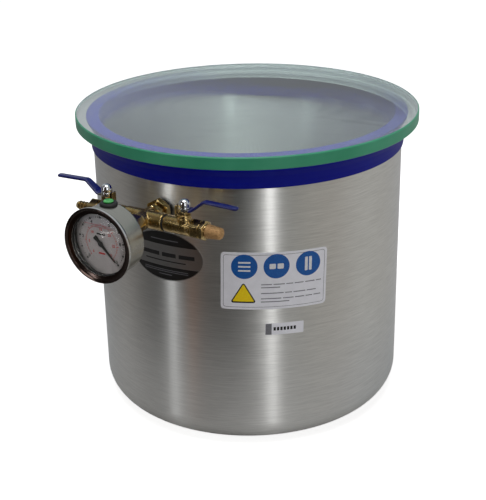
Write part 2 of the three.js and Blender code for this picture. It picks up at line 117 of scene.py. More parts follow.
def smooth(piece, angle=32):
    piece.data.polygons.foreach_set("use_smooth", [True] * len(piece.data.polygons))
    piece.data.set_sharp_from_angle(angle=math.radians(angle))
    return modify(piece, "WEIGHTED_NORMAL", keep_sharp=True, weight=80)


def flat_caps(piece, axis):
    """Flat shading on the faces square to an axis, so a wide pane doesn't act like a lens."""
    for face in piece.data.polygons:
        if abs(face.normal.dot(axis)) > 0.9999:
            face.use_smooth = False


def apply_modifiers(piece):
    graph = bpy.context.evaluated_depsgraph_get()
    mesh = bpy.data.meshes.new_from_object(piece.evaluated_get(graph))
    old = piece.data
    piece.modifiers.clear()
    piece.data = mesh
    bpy.data.meshes.remove(old)
    mesh.name = piece.name
    return piece


def modify(piece, kind, **settings):
    modifier = piece.modifiers.new(kind.lower(), kind)
    for key, value in settings.items():
        setattr(modifier, key, value)
    return apply_modifiers(piece)


def bevel(piece, width, angle=32, segments=2):
    return modify(
        piece, "BEVEL", width=width * MM, segments=segments, limit_method="ANGLE",
        angle_limit=math.radians(angle), use_clamp_overlap=True, miter_outer="MITER_ARC",
    )


def boolean(piece, others, operation):
    for other in others:
        modify(piece, "BOOLEAN", operation=operation, object=other, solver="EXACT")
        bpy.data.objects.remove(other)
    return piece


def join(name, pieces):
    """One mesh from several."""
    bm = bmesh.new()
    for piece in pieces:
        bm.from_mesh(piece.data)
        bpy.data.objects.remove(piece)
    mesh = bpy.data.meshes.new(name)
    bm.to_mesh(mesh)
    bm.free()
    return in_scene(name, mesh)


def rounded(points, steps=4):
    """Rounds an outline's corners. A point is (r, z) or (r, z, fillet radius)."""
    out = []
    count = len(points)
    for i, point in enumerate(points):
        here = Vector(point[:2])
        fillet = point[2] if len(point) > 2 else 0
        if not fillet:
            out.append(tuple(here))
            continue
        before = Vector(points[i - 1][:2]) - here
        after = Vector(points[(i + 1) % count][:2]) - here
        half = before.angle(after) / 2
        cut = min(fillet / math.tan(half), before.length * 0.49, after.length * 0.49)
        radius = cut * math.tan(half)
        a, b = before.normalized(), after.normalized()
        centre = here + (a + b).normalized() * (radius / math.sin(half))
        start, stop = here + a * cut - centre, here + b * cut - centre
        turn = start.angle_signed(stop)
        for k in range(steps + 1):
            t = -turn * k / steps
            c, s = math.cos(t), math.sin(t)
            out.append((centre.x + start.x * c - start.y * s, centre.y + start.x * s + start.y * c))
    return out


def spin(name, rows, steps=96, matrix=UPRIGHT, closed=False, turn=0.0):
    """A turned piece round +Z. A row is (r, z), or a function of the angle that gives (r, z)."""
    bm = bmesh.new()
    rings = []
    for row in rows:
        if not callable(row) and row[0] < 1e-6:
            rings.append([bm.verts.new((0, 0, row[1]))])
            continue
        ring = []
        for i in range(steps):
            a = TAU * i / steps
            r, z = row(a) if callable(row) else row
            ring.append(bm.verts.new((r * math.cos(a + turn), r * math.sin(a + turn), z)))
        rings.append(ring)
    pairs = list(zip(rings, rings[1:]))
    if closed:
        pairs.append((rings[-1], rings[0]))
    for one, two in pairs:
        for i in range(steps):
            j = (i + 1) % steps
            if len(one) == 1 and len(two) == 1:
                continue
            if len(one) == 1:
                bm.faces.new((one[0], two[j], two[i]))
            elif len(two) == 1:
                bm.faces.new((one[i], one[j], two[0]))
            else:
                bm.faces.new((one[i], one[j], two[j], two[i]))
    return new_piece(name, bm, matrix)


def rod(r, low, high, matrix, steps=48):
    """A plain round bar, to cut with."""
    return spin("rod", [(0, low), (r, low), (r, high), (0, high)], steps, matrix)


def tube_rows(outer, bore):
    """Rows of a tube: its outer outline from low to high, closed by a straight bore."""
    low, high = outer[0], outer[-1]
    z_low = low(0)[1] if callable(low) else low[1]
    z_high = high(0)[1] if callable(high) else high[1]
    return [(bore, z_low), *outer, (bore, z_high)]


def hex_rows(flat, low, high, chamfer):
    """Rows of a hexagon bar whose ends slope down from a ring. flat is half the distance across flats."""
    blunt = flat / math.cos(math.pi / 6) - 0.15
    ring = flat * chamfer

    def reach(a):
        return min(flat / math.cos(a % (TAU / 6) - TAU / 12), blunt)

    def edge(z, sign):
        return lambda a: (reach(a), z + sign * max(0.0, reach(a) - ring) / 2)

    return [(ring, low), edge(low, 1), edge(high, -1), (ring, high)]


def thread_rows(r, low, high, pitch, depth):
    """Rows of a run of thread crests along +Z, as parallel ridges."""
    rows = []
    count = max(1, int((high - low) / pitch))
    pitch = (high - low) / count
    root = r - depth
    for i in range(count):
        for at, part in ((root, 0.1), (r, 0.42), (r, 0.58), (root, 0.9)):
            rows.append((at, low + i * pitch + part * pitch))
    return rows


def skin(bm, sections):
    """Joins closed sections that all have the same number of points, and caps both ends."""
    rings = [[bm.verts.new(point) for point in section] for section in sections]
    for one, two in zip(rings, rings[1:]):
        for i in range(len(one)):
            j = (i + 1) % len(one)
            bm.faces.new((one[i], one[j], two[j], two[i]))
    bm.faces.new(list(reversed(rings[0])))
    bm.faces.new(rings[-1])


def raise_outline(bm, outline, low, high):
    skin(bm, [[(x, y, z) for x, y in outline] for z in (low, high)])


def prism(name, outlines, low, high, matrix=UPRIGHT):
    """Outlines in XY, raised from low to high."""
    bm = bmesh.new()
    for outline in outlines:
        raise_outline(bm, outline, low, high)
    return new_piece(name, bm, matrix)


def bar(u0, u1, v0, v1):
    return [(u0, v0), (u1, v0), (u1, v1), (u0, v1)]


def ellipse(u, v, half_u, half_v, steps=64):
    turns = [TAU * k / steps for k in range(steps)]
    return [(u + half_u * math.cos(a), v + half_v * math.sin(a)) for a in turns]


def arc(cx, cy, r, start, stop, steps):
    spread = math.radians(stop - start)
    first = math.radians(start)
    return [
        (cx + r * math.cos(first + spread * k / steps), cy + r * math.sin(first + spread * k / steps))
        for k in range(steps + 1)
    ]


def finish(piece, material, replaces=None, body="root"):
    """Gives a piece its material and its body, and hides the CAD node that it stands for."""
    piece.data.materials.clear()
    piece.data.materials.append(material)
    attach(piece, body)
    if replaces:
        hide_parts(replaces)
    return piece


# ---- material helpers ----------------------------------------------------------------------------
def add_node(tree, kind, links=None, **settings):
    """A new node. links gives an input its value, or the output that feeds it."""
    made = tree.nodes.new("ShaderNode" + kind)
    for key, value in settings.items():
        setattr(made, key, value)
    for socket, value in (links or {}).items():
        if isinstance(value, bpy.types.NodeSocket):
            tree.links.new(value, made.inputs[socket])
        else:
            made.inputs[socket].default_value = value
    return made


class Paint:
    """A small wrapper that builds one node material."""

    def __init__(self, name):
        self.material = bpy.data.materials.new(name)
        self.material.use_nodes = True
        self.tree = self.material.node_tree
        self.shader = self.tree.nodes["Principled BSDF"]
        self.coords = self.tree.nodes.new("ShaderNodeTexCoord")

    def set(self, **values):
        for key, value in values.items():
            socket = self.shader.inputs[key.replace("_", " ")]
            socket.default_value = (*value, 1) if isinstance(value, tuple) and len(value) == 3 else value
        return self

    def node(self, kind, links=None, **settings):
        return add_node(self.tree, kind, links, **settings)

    def link(self, source, socket):
        self.tree.links.new(source, self.shader.inputs[socket])

    def point(self, scale=(1, 1, 1)):
        """Object coordinates in metres, scaled."""
        return self.node("Mapping", {"Vector": self.coords.outputs["Object"], "Scale": scale}).outputs[0]

    def noise(self, vector, scale, detail=3.0, roughness=0.55):
        return self.node(
            "TexNoise", {"Vector": vector, "Scale": scale, "Detail": detail, "Roughness": roughness}
        ).outputs["Fac"]

    def ramp(self, value, low, high):
        """Maps low..high of a value to 0..1."""
        return self.node("MapRange", {"Value": value, "From Min": low, "From Max": high}).outputs[0]

    def between(self, value, low, high):
        return self.node("MapRange", {"Value": value, "To Min": low, "To Max": high}).outputs[0]

    def mix(self, factor, one, two):
        one, two = ((*colour, 1) if isinstance(colour, tuple) else colour for colour in (one, two))
        return self.node("Mix", {0: factor, 6: one, 7: two}, data_type="RGBA").outputs[2]

    def maths(self, operation, *values):
        return self.node("Math", dict(enumerate(values)), operation=operation).outputs[0]

    def bump(self, height, strength, distance):
        made = self.node("Bump", {"Height": height, "Strength": strength, "Distance": distance * MM})
        self.link(made.outputs[0], "Normal")

    def edge_wear(self):
        """1 on worn convex edges, 0 elsewhere."""
        return self.ramp(self.node("NewGeometry").outputs["Pointiness"], 0.52, 0.62)


def linear(r, g, b):
    """An sRGB colour of 0 to 255, made linear."""
    return tuple(((c / 255 + 0.055) / 1.055) ** 2.4 if c > 10 else c / 255 / 12.92 for c in (r, g, b))


def brushed_metal():
    """Satin metal finished on a lathe: fine scratches round the axis, on the wall and on the floor alike."""
    paint = Paint("brushed_metal").set(Metallic=1.0, Anisotropic=0.95, Anisotropic_Rotation=0.25)
    split = paint.node("SeparateXYZ", {"Vector": paint.coords.outputs["Object"]})
    x, y, z = split.outputs
    square = paint.maths("ADD", paint.maths("MULTIPLY", x, x), paint.maths("MULTIPLY", y, y))
    radius = paint.maths("SQRT", square)
    angle = paint.maths("ARCTAN2", y, x)
    along = paint.maths("ADD", radius, z)

    def scratches(per_turn, per_metre, detail):
        place = paint.node("CombineXYZ", {
            "X": paint.maths("MULTIPLY", paint.maths("COSINE", angle), per_turn),
            "Y": paint.maths("MULTIPLY", paint.maths("SINE", angle), per_turn),
            "Z": paint.maths("MULTIPLY", along, per_metre),
        })
        return paint.noise(place.outputs[0], 1.0, detail, 0.65)

    fine = scratches(9.0, 2600.0, 3.0)
    coarse = scratches(4.0, 520.0, 4.0)
    cloudy = paint.noise(paint.point(), 9.0, 3.0)
    tone = paint.maths("MULTIPLY_ADD", fine, 0.6, paint.maths("MULTIPLY", coarse, 0.4))
    light, dark = linear(226, 225, 222), linear(204, 203, 200)
    paint.link(paint.mix(paint.ramp(tone, 0.38, 0.62), dark, light), "Base Color")
    rough = paint.maths("ADD", paint.between(coarse, 0.27, 0.41), paint.between(cloudy, -0.03, 0.03))
    paint.link(rough, "Roughness")
    tangent = paint.node("Tangent", direction_type="RADIAL", axis="Z")
    paint.link(tangent.outputs[0], "Tangent")
    paint.bump(fine, 0.12, 0.03)
    return paint.material


def mottled(name, tone, pale, cloud, spread, rough, skin, **shader):
    """A colour that clouds over into a paler one, with a fine uneven skin."""
    paint = Paint(name).set(**shader)
    dust = paint.noise(paint.point(), *cloud)
    paint.link(paint.mix(paint.ramp(dust, *spread), linear(*tone), linear(*pale)), "Base Color")
    paint.link(paint.between(dust, *rough), "Roughness")
    scale, strength, depth = skin
    paint.bump(paint.noise(paint.point(), scale, 2.0), strength, depth)
    return paint.material


def plastic(name, tone, pale, rough=(0.3, 0.5), grain=0.1):
    return mottled(name, tone, pale, (160.0, 4.0), (0.4, 0.7), rough, (1200.0, grain, 0.04))


def let_lamps_through(paint, tint):
    """Lamps shine straight through this glass, so what it covers is lit."""
    clear = paint.node("BsdfTransparent", {"Color": (*tint, 1)})
    shadow = paint.node("LightPath").outputs["Is Shadow Ray"]
    either = paint.node("MixShader", {0: shadow, 1: paint.shader.outputs[0], 2: clear.outputs[0]})
    paint.tree.links.new(either.outputs[0], paint.tree.nodes["Material Output"].inputs["Surface"])


def lid_glass():
    """Thick soda-lime plate, polished on both faces and faintly green."""
    paint = Paint("clear_glass").set(Transmission_Weight=1.0, IOR=1.52)
    paint.set(Base_Color=linear(240, 250, 247))
    smear = paint.noise(paint.point(), 18.0, 4.0)
    paint.link(paint.between(smear, 0.0, 0.03), "Roughness")
    let_lamps_through(paint, (0.86, 0.94, 0.91))
    return paint.material


def ground_edge():
    """The lid's ground rim, which shows the deep green that a long way through the glass gives."""
    paint = Paint("ground_glass_edge").set(Transmission_Weight=0.12, IOR=1.52, Specular_IOR_Level=0.25)
    grind = paint.noise(paint.point((1, 1, 0.5)), 900.0, 3.0)
    cloud = paint.noise(paint.point(), 30.0, 3.0)
    deep = paint.mix(paint.ramp(cloud, 0.35, 0.7), linear(62, 158, 120), linear(72, 168, 130))
    inside = paint.node("NewGeometry").outputs["Backfacing"]
    paint.link(paint.mix(inside, deep, linear(178, 192, 188)), "Base Color")
    paint.link(paint.between(grind, 0.28, 0.42), "Roughness")
    paint.bump(grind, 0.08, 0.04)
    return paint.material


def gauge_glass(name="gauge_glass", tint=(250, 252, 252), rough=(0.0, 0.02)):
    paint = Paint(name).set(Transmission_Weight=1.0, IOR=1.46, Base_Color=linear(*tint))
    paint.link(paint.between(paint.noise(paint.point(), 120.0, 3.0), *rough), "Roughness")
    let_lamps_through(paint, (0.97, 0.97, 0.97))
    return paint.material


def machined_brass(name="brass", light=(204, 180, 128), dark=(146, 122, 74), rough=(0.1, 0.22), grain=0.14):
    """Brass that has been turned or cast: slightly tarnished, brighter on its edges."""
    paint = Paint(name).set(Metallic=1.0)
    stain = paint.noise(paint.point(), 130.0, 5.0, 0.6)
    tarnish = paint.ramp(stain, 0.35, 0.7)
    base = paint.mix(tarnish, linear(*light), linear(*dark))
    worn = paint.mix(paint.edge_wear(), base, linear(236, 216, 168))
    paint.link(worn, "Base Color")
    paint.link(paint.between(stain, *rough), "Roughness")
    paint.bump(paint.noise(paint.point(), 1400.0, 3.0, 0.6), grain, 0.05)
    return paint.material


def sintered_bronze():
    """Small bronze balls fused together. Each ball's colour darkens from its middle to its rim, as painted
    shade between the balls.
    """
    paint = Paint("sintered_bronze").set(Metallic=0.45)
    grains = paint.node("TexVoronoi", {"Vector": paint.point(), "Scale": 1700.0})
    shade = paint.noise(paint.point(), 500.0, 3.0)
    # Painted shade: light in each grain's middle, dark towards the gaps between grains.
    grain_rim_shade = paint.ramp(grains.outputs["Distance"], 0.15, 0.75)
    colour = paint.mix(grain_rim_shade, linear(232, 192, 134), linear(146, 106, 64))
    paint.link(paint.mix(paint.maths("MULTIPLY", shade, 0.5), colour, linear(206, 156, 104)), "Base Color")
    paint.set(Roughness=0.52)
    height = paint.maths("SUBTRACT", 1.0, grains.outputs["Distance"])
    paint.bump(height, 0.9, 0.25)
    return paint.material


def plated(name="chrome", tone=(222, 224, 228), rough=(0.05, 0.14), wear=0.35):
    paint = Paint(name).set(Metallic=1.0)
    smudge = paint.noise(paint.point(), 220.0, 4.0)
    darker = tuple(round(c * 0.86) for c in tone)
    worn = paint.maths("MULTIPLY", smudge, wear)
    paint.link(paint.mix(worn, linear(*tone), linear(*darker)), "Base Color")
    paint.link(paint.between(smudge, *rough), "Roughness")
    return paint.material


def gauge_steel():
    """Stainless sheet with a fine lengthwise draw."""
    paint = Paint("gauge_steel").set(Metallic=1.0)
    draw = paint.noise(paint.point((60, 900, 60)), 1.0, 3.0, 0.6)
    smudge = paint.noise(paint.point(), 90.0, 3.0)
    paint.link(paint.mix(draw, linear(150, 147, 137), linear(172, 169, 158)), "Base Color")
    paint.link(paint.between(smudge, 0.2, 0.3), "Roughness")
    paint.bump(draw, 0.04, 0.02)
    return paint.material


def print_ink(name, tone, rough=0.45):
    """Printed ink: an even colour with a slight screen-print mottle."""
    paint = Paint(name).set(Roughness=rough)
    mottle = paint.noise(paint.point(), 700.0, 3.0)
    paler = tuple(min(255, c + 16) for c in tone)
    paint.link(paint.mix(paint.ramp(mottle, 0.45, 0.75), linear(*tone), linear(*paler)), "Base Color")
    return paint.material


METAL = brushed_metal()
SILICONE = mottled(
    "blue_silicone", (2, 14, 138), (8, 22, 144), (60.0, 5.0), (0.5, 0.75), (0.38, 0.58), (900.0, 0.12, 0.06),
    IOR=1.41, Specular_IOR_Level=0.22,
)
GLASS = lid_glass()
GLASS_EDGE = ground_edge()
WINDOW = gauge_glass()
LIQUID = gauge_glass("glycerine", (252, 248, 244), (0.0, 0.0))
BRASS = machined_brass()
CAST_BRASS = machined_brass("cast_brass", (196, 170, 118), (134, 110, 64), (0.2, 0.34), 0.4)
BRONZE = sintered_bronze()
CHROME = plated()
NICKEL = plated("nickel", (206, 204, 198), (0.1, 0.22))
BEZEL_METAL = plated("bezel_metal", (196, 194, 190), (0.06, 0.14), 0.4)
# Darker plating for the bezel's deep hollow: painted shade in the recess.
BEZEL_PAINTED_SHADE = plated("bezel_painted_shade", (70, 58, 54), (0.1, 0.2), 0.5)
STEEL = gauge_steel()
VINYL = mottled(
    "blue_vinyl", (4, 12, 92), (14, 24, 108), (190.0, 5.0, 0.7), (0.55, 0.8), (0.24, 0.46),
    (420.0, 0.2, 0.1), IOR=1.5, Specular_IOR_Level=0.4, Coat_Weight=0.12, Coat_Roughness=0.12,
)
RUBBER = mottled(
    "black_rubber", (17, 17, 18), (44, 43, 43), (260.0, 5.0, 0.65), (0.5, 0.8), (0.5, 0.78),
    (1500.0, 0.2, 0.05),
)
PTFE = plastic("white_ptfe", (232, 232, 228), (242, 242, 240))
GREEN = plastic("green_plastic", (52, 150, 74), (92, 188, 104), (0.32, 0.5))
DIAL_WHITE = plastic("dial_face", (172, 168, 170), (180, 176, 178), (0.4, 0.55), 0.05)
BLACK = plastic("pointer_black", (10, 10, 11), (20, 20, 21), (0.35, 0.5), 0.08)
INK_BLACK = print_ink("ink_black", (14, 14, 16))
INK_RED = print_ink("ink_red", (176, 34, 40))
INK_GREY = print_ink("ink_grey", (118, 118, 124))
INK_BLUE = print_ink("ink_blue", (0, 84, 164))
INK_YELLOW = print_ink("ink_yellow", (250, 214, 0))
INK_WHITE = print_ink("ink_white", (226, 226, 230))
LABEL_FILM = plastic("label_film", (236, 236, 244), (242, 242, 250), (0.34, 0.46), 0.04)
SILVER_FILM = plated("silver_film", (166, 166, 166), (0.3, 0.42), 0.6)
MENISCUS = plastic("glycerine_edge", (172, 112, 120), (190, 134, 140), (0.2, 0.35), 0.02)
BADGE_FILM = plastic("badge_film", (12, 12, 12), (22, 22, 22), (0.28, 0.42), 0.05)


# ---- pot, gasket and lid -------------------------------------------------------------------------
def make_pot():
    corner, lip, port_low, port_high = 26, 1.2, 215, 262
    outline = rounded([
        (0, 0), (WALL_R, 0, corner), (WALL_R, port_low), (WALL_R, port_high), (WALL_R, RIM_Z, lip),
        (INNER_R, RIM_Z, lip), (INNER_R, port_high), (INNER_R, port_low), (INNER_R, WALL, corner - WALL),
        (0, WALL),
    ], steps=12)
    shell = spin("pot_shell", outline, steps=240)
    smooth(boolean(shell, [rod(7, -10, 10, PORT_LINE)], "DIFFERENCE"), 40)
    finish(shell, METAL, "pot")


def make_gasket():
    low, top = GASKET_LOW.z, GASKET_HIGH.z - 0.1
    skirt, flare, inner = 155.7, GASKET_HIGH.x, 147
    outline = rounded([
        (inner, low, 1.0), (INNER_R - 0.3, low, 0.5), (INNER_R - 0.3, RIM_Z), (WALL_R + 0.3, RIM_Z),
        (WALL_R + 0.3, low, 0.4), (skirt, low, 0.9), (156.3, low + 6, 8), (157.6, low + 12, 10),
        (flare - 0.5, top - 5, 6), (flare, top - 2, 2), (flare - 0.2, top, 1.4), (inner, top, 1.6),
    ], steps=5)
    ring = spin("rim_gasket_skin", outline, steps=240, closed=True)
    finish(smooth(ring, 50), SILICONE, "rim_gasket")


def make_lid():
    low, top, edge = LID_LOW.z, LID_HIGH.z, 1.0
    outline = rounded([
        (0, low), (LID_R - edge, low, 0.3), (LID_R, low + edge, 0.5), (LID_R, top - edge, 0.5),
        (LID_R - edge, top, 0.3), (0, top),
    ], steps=4)
    plate = spin("lid_plate", outline, steps=240)
    flat_caps(smooth(plate, 25), Vector((0, 0, 1)))
    finish(plate, GLASS, "glass_lid", "lid")
    plate.data.materials.append(GLASS_EDGE)
    for face in plate.data.polygons:
        middle = face.center / MM
        if math.hypot(middle.x, middle.y) > LID_R - 1.2:
            face.material_index = 1


# ---- port ----------------------------------------------------------------------------------------
FLOW_R, SOCKET_R = 4, 6.3
THREAD_BORE, CORNER_UP = 6.8, math.pi / 6


def port_nut(side, flat, low, high):
    rows = tube_rows(hex_rows(flat, low, high, 0.985), THREAD_BORE)
    shape = spin("port_nut_" + side, rows, 96, PORT_LINE, True, CORNER_UP)
    finish(smooth(bevel(shape, 0.22, 28), 30), BRASS, f"port_{side}_nut")


def make_port():
    head_low, head_high = 9.5, 17.5
    tail_end = outward("port_fitting")[0]
    tail = thread_rows(6.5, tail_end + 1, head_low, 1.34, 0.55)
    head = hex_rows(8.2, head_low, head_high, 0.98)
    rows = [
        (5.2, tail_end), (6.0, tail_end + 0.6), *tail, *head, (SOCKET_R, head_high), (SOCKET_R, 12),
        (FLOW_R, 12), (FLOW_R, tail_end),
    ]
    fitting = spin("port_fitting_skin", rows, 96, PORT_LINE, True, CORNER_UP)
    finish(smooth(fitting, 30), BRASS, "port_fitting")
    port_nut("outer", 10.82, 3.2, 9.2)
    port_nut("inner", 10.8, *outward("port_inner_nut"))
    for name in ("port_outer_washer", "port_inner_washer"):
        low, high = outward(name)
        outline = rounded([
            (THREAD_BORE, low, 0.3), (10.5, low, 0.7), (10.5, high, 0.7), (THREAD_BORE, high, 0.3),
        ], steps=3)
        washer = spin(name + "_skin", outline, 64, PORT_LINE, True)
        finish(smooth(washer, 50), RUBBER, name)


# ---- cross ---------------------------------------------------------------------------------------
CROSS_R, CROSS_SIDE, CROSS_SOCKET = 8.3, 20.4, 8.5
CROSS_BACK, CROSS_FRONT, COLLAR = 17.8, CROSS_OUT + 22, 10


def make_cross():
    """A forged body with soft inside corners, and a turned hexagonal collar in front."""
    r, back, body_end, side = CROSS_R, CROSS_BACK, CROSS_FRONT - COLLAR, CROSS_SIDE
    shelf = side - CROSS_SOCKET
    across = PORT_LINE @ Matrix.Translation((0, 0, CROSS_OUT)) @ ALONG_X
    trunk = [(0, back), (r - 0.4, back), (r, back + 0.5), (r, body_end), (0, body_end)]
    arms = [(0, -side), (r - 0.5, -side), (r, 0.5 - side), (r, side - 0.5), (r - 0.5, side), (0, side)]
    core = spin("cross_skin", trunk, 96, PORT_LINE)
    boolean(core, [spin("arms", arms, 96, across)], "UNION")
    modify(core, "REMESH", mode="VOXEL", voxel_size=0.35 * MM)
    modify(core, "SMOOTH", factor=0.5, iterations=4)
    sockets = spin("sockets", [
        (0, -side - 4), (SOCKET_R, -side - 4), (SOCKET_R, -shelf), (FLOW_R, -shelf), (FLOW_R, shelf),
        (SOCKET_R, shelf), (SOCKET_R, side + 4), (0, side + 4),
    ], 48, across)
    boolean(core, [rod(FLOW_R, 0, 60, PORT_LINE), sockets], "DIFFERENCE")
    finish(smooth(core, 40), CAST_BRASS, "cross_fitting")
    rows = tube_rows(hex_rows(8.0, body_end - 0.2, CROSS_FRONT, 0.97), 6.6)
    collar = spin("cross_front_collar", rows, 96, PORT_LINE, True)
    finish(smooth(bevel(collar, 0.2, 28), 30), BRASS)


make_pot()
make_gasket()
make_lid()
make_port()
make_cross()


# ---- ball valves ---------------------------------------------------------------------------------
# Heights are above the flow line, and places along it are distances from the cross's centre.
BODY_START, BODY_END = 22.1, 59.4
BARREL_R, GROOVE_R, WRENCH_FLAT = 7.8, 7.1, 8.0
GROOVE_FROM, WRENCH_FROM = 46.1, 50.6
OUTLET_FROM, SPIGOT_FROM, SPIGOT_R = 60.0, 50.6, 5.6
STEM_BORE, STEM_FOOT_R, PACKING_BORE, CHAMBER_R = 2.7, 3.7, 4.0, 5.95
DOME_R, DOME_TOP = 5.3, 26


def make_valve_body(side, base):
    """Forged barrel with a stem boss, a ringed waist and a wrench hexagon at its outer end."""
    along = base @ ALONG_X
    stem = base @ ON_STEM
    barrel = spin("barrel", [
        (0, BODY_START + 0.6), (BARREL_R - 0.5, BODY_START + 0.6), (BARREL_R, BODY_START + 1.4),
        (BARREL_R, GROOVE_FROM), (GROOVE_R, GROOVE_FROM + 0.4), (GROOVE_R, WRENCH_FROM + 1),
        (0, WRENCH_FROM + 1),
    ], 96, along)
    shoulder = rounded([
        (0, 2), (7.0, 2), (6.6, 8), (5.8, 9.5, 1.5), (5.6, 11.4), (5.0, 12), (0, 12),
    ], steps=5)
    boss = spin("boss", shoulder, 64, stem)
    boolean(barrel, [boss], "UNION")
    modify(barrel, "REMESH", mode="VOXEL", voxel_size=0.32 * MM)
    modify(barrel, "SMOOTH", factor=0.5, iterations=5)
    cuts = [
        spin("cavity", [
            (0, 10), (FLOW_R, 10), (FLOW_R, 34.5), (CHAMBER_R, 34.5), (CHAMBER_R, 62), (0, 62),
        ], 48, along),
        spin("stem_way", [
            (0, 0), (STEM_FOOT_R, 0), (STEM_FOOT_R, 7.4), (STEM_BORE, 7.4), (STEM_BORE, 8.1),
            (PACKING_BORE, 8.1), (PACKING_BORE, 14), (0, 14),
        ], 48, stem),
    ]
    boolean(barrel, cuts, "DIFFERENCE")
    barrel.name = side + "_valve_body_skin"
    finish(smooth(barrel, 40), CAST_BRASS, side + "_valve_body")

    low, high, r = GROOVE_FROM + 1.4, GROOVE_FROM + 3.2, BARREL_R + 0.1
    ring = rounded([
        (GROOVE_R - 0.4, low), (GROOVE_R, low), (r, low + 0.3, 0.3), (r, high - 0.3, 0.3), (GROOVE_R, high),
        (GROOVE_R - 0.4, high),
    ], steps=3)
    band = spin(side + "_body_ring", ring, 96, along, True)
    finish(smooth(band, 45), BRASS)
    rows = tube_rows(hex_rows(WRENCH_FLAT, WRENCH_FROM, BODY_END, 0.965), CHAMBER_R + 0.1)
    wrench = spin(side + "_wrench_hexagon", rows, 96, along, True)
    finish(smooth(bevel(wrench, 0.2, 28), 30), BRASS)
    thread = thread_rows(6.9, CROSS_SIDE + 0.6, BODY_START + 0.9, 1.0, 0.45)
    screw = spin(side + "_inlet_thread", tube_rows(thread, FLOW_R), 72, along, True)
    finish(smooth(screw, 30), BRASS)
    lug = lever_stop(side, stem)
    finish(lug, CAST_BRASS)


def lever_stop(side, stem):
    """The ear beside the stem that the lever's tab runs against."""
    outline = rounded([
        (-8.6, 7.6), (-4.8, 7.6), (-4.8, 10.6, 1.0), (-6.8, 11.2, 1.2), (-6.8, 19.5, 0.7), (-8.6, 19.5, 0.7),
    ])
    upright = stem @ Matrix.Rotation(math.pi / 2, 4, "X")
    lug = prism(side + "_lever_stop", [outline], -2.5, 2.5, upright)
    return smooth(bevel(lug, 0.45, 28, 3), 40)


def make_gland(side, base):
    stem = base @ ON_STEM
    foot, low, high = 10.0, 12.2, 15
    rows = [(STEM_BORE, foot), (3.7, foot), (3.7, low), *hex_rows(4.9, low, high, 0.95), (STEM_BORE, high)]
    gland = spin(side + "_gland_nut_skin", rows, 96, stem, True)
    finish(smooth(bevel(gland, 0.15, 28), 30), BRASS, side + "_gland_nut")


# The lever's side profile: a flat eye, a straight slope between two tight bends, and a long handle.
LEVER_BASE, LEVER_THICK = 15.3, 2.2
LEVER_LIFT, LEVER_DROOP, LEVER_REACH = 10.2, 0.8, 54.5
SLOPE_FROM, SLOPE_TO, SLEEVE_FROM = 8.0, 21.0, 5.8
EYE_HALF, HANDLE_HALF = 5.2, 3.5


def lever_line(x):
    """Height of the lever's underside, with sharp bends."""
    rise = LEVER_LIFT * min(1.0, max(0.0, (x - SLOPE_FROM) / (SLOPE_TO - SLOPE_FROM)))
    return LEVER_BASE + rise - LEVER_DROOP * max(0.0, x - SLOPE_TO) / (LEVER_REACH - SLOPE_TO)


def lever_height(x):
    """The same height with the bends rounded off."""
    return sum(lever_line(x + 0.5 * k) for k in range(-3, 4)) / 7


def lever_half_width(x):
    t = min(1.0, max(0.0, (x - SLOPE_FROM) / (SLOPE_TO + 2 - SLOPE_FROM)))
    return EYE_HALF + (HANDLE_HALF - EYE_HALF) * t


def lever_section(x, half, middle, thick):
    """A flattened oval across the lever at one place along it."""
    points = []
    for k in range(24):
        a = TAU * k / 24
        c, s = math.cos(a), math.sin(a)
        side = math.copysign(abs(c) ** 0.55, c) * half
        up = math.copysign(abs(s) ** 0.8, s) * thick / 2
        points.append((x, side, middle + up))
    return points


def make_lever(side, base):
    """A steel strip in a dipped vinyl sleeve, with the bare steel showing round the stem nut."""
    stem, handle = base @ ON_STEM, side + "_handle"
    nose, cuts = HANDLE_HALF, 80
    sections = []
    for k in range(cuts + 1):
        x = SLEEVE_FROM + (LEVER_REACH - SLEEVE_FROM) * k / cuts
        half, front, end = lever_half_width(x), x - SLEEVE_FROM, LEVER_REACH - x
        if end < nose:
            half = max(0.5, math.sqrt(max(0.0, nose * nose - (nose - end) ** 2)))
        swell = min(1.0, front / 1.2 + 0.35) if front < 1.2 else 1.0
        tip = min(1.0, end / 1.4 + 0.25)
        slope = (lever_height(x + 0.1) - lever_height(x - 0.1)) / 0.2
        thick = (LEVER_THICK + 0.5) * math.sqrt(1 + slope * slope) * swell * tip
        middle = lever_height(x) + LEVER_THICK / 2
        sections.append(lever_section(x, half * min(1, swell + 0.1), middle, thick))
    bm = bmesh.new()
    skin(bm, sections)
    sleeve = new_piece(side + "_lever_sleeve", bm, stem)
    finish(smooth(sleeve, 60), VINYL, side + "_lever", handle)

    plan = [*arc(0, 0, 5.5, 60, 300, 40), (7.0, -4.75), (7.0, 4.75)]
    plate = prism(side + "_lever_eye", [plan], LEVER_BASE + 0.1, LEVER_BASE + LEVER_THICK - 0.1, stem)
    boolean(plate, [rod(2.6, 10, 25, stem)], "DIFFERENCE")
    finish(smooth(bevel(plate, 0.3, 40), 40), NICKEL, body=handle)


def make_dome_nut(side, base):
    """A cap nut: a thin round flange and a wide polished dome."""
    stem = base @ ON_STEM
    low = LEVER_BASE + LEVER_THICK + 0.1
    rows = [
        (STEM_BORE, low), (5.4, low), (5.6, low + 0.2), (5.6, low + 0.8), (5.4, low + 1.0),
        (5.25, low + 1.3), *arc(0, DOME_TOP - DOME_R, DOME_R, 0, 90, 16)[:-1], (0, DOME_TOP),
        (0, 23.4), (STEM_BORE, 22.8),
    ]
    cap = spin(side + "_dome_nut_skin", [*rows, (STEM_BORE, low)], 96, stem)
    finish(smooth(cap, 30), CHROME, side + "_dome_nut", side + "_handle")


def make_joint_seal(side, base):
    near, far = node_box("right_joint_seal")
    middle, half = (near.x + far.x) / 2, 1.3 / 2
    section = ellipse(6.95, middle, half, half, 16)
    seal = spin(side + "_joint_seal_skin", section, 64, base @ ALONG_X, True)
    finish(smooth(seal, 60), RUBBER, side + "_joint_seal")


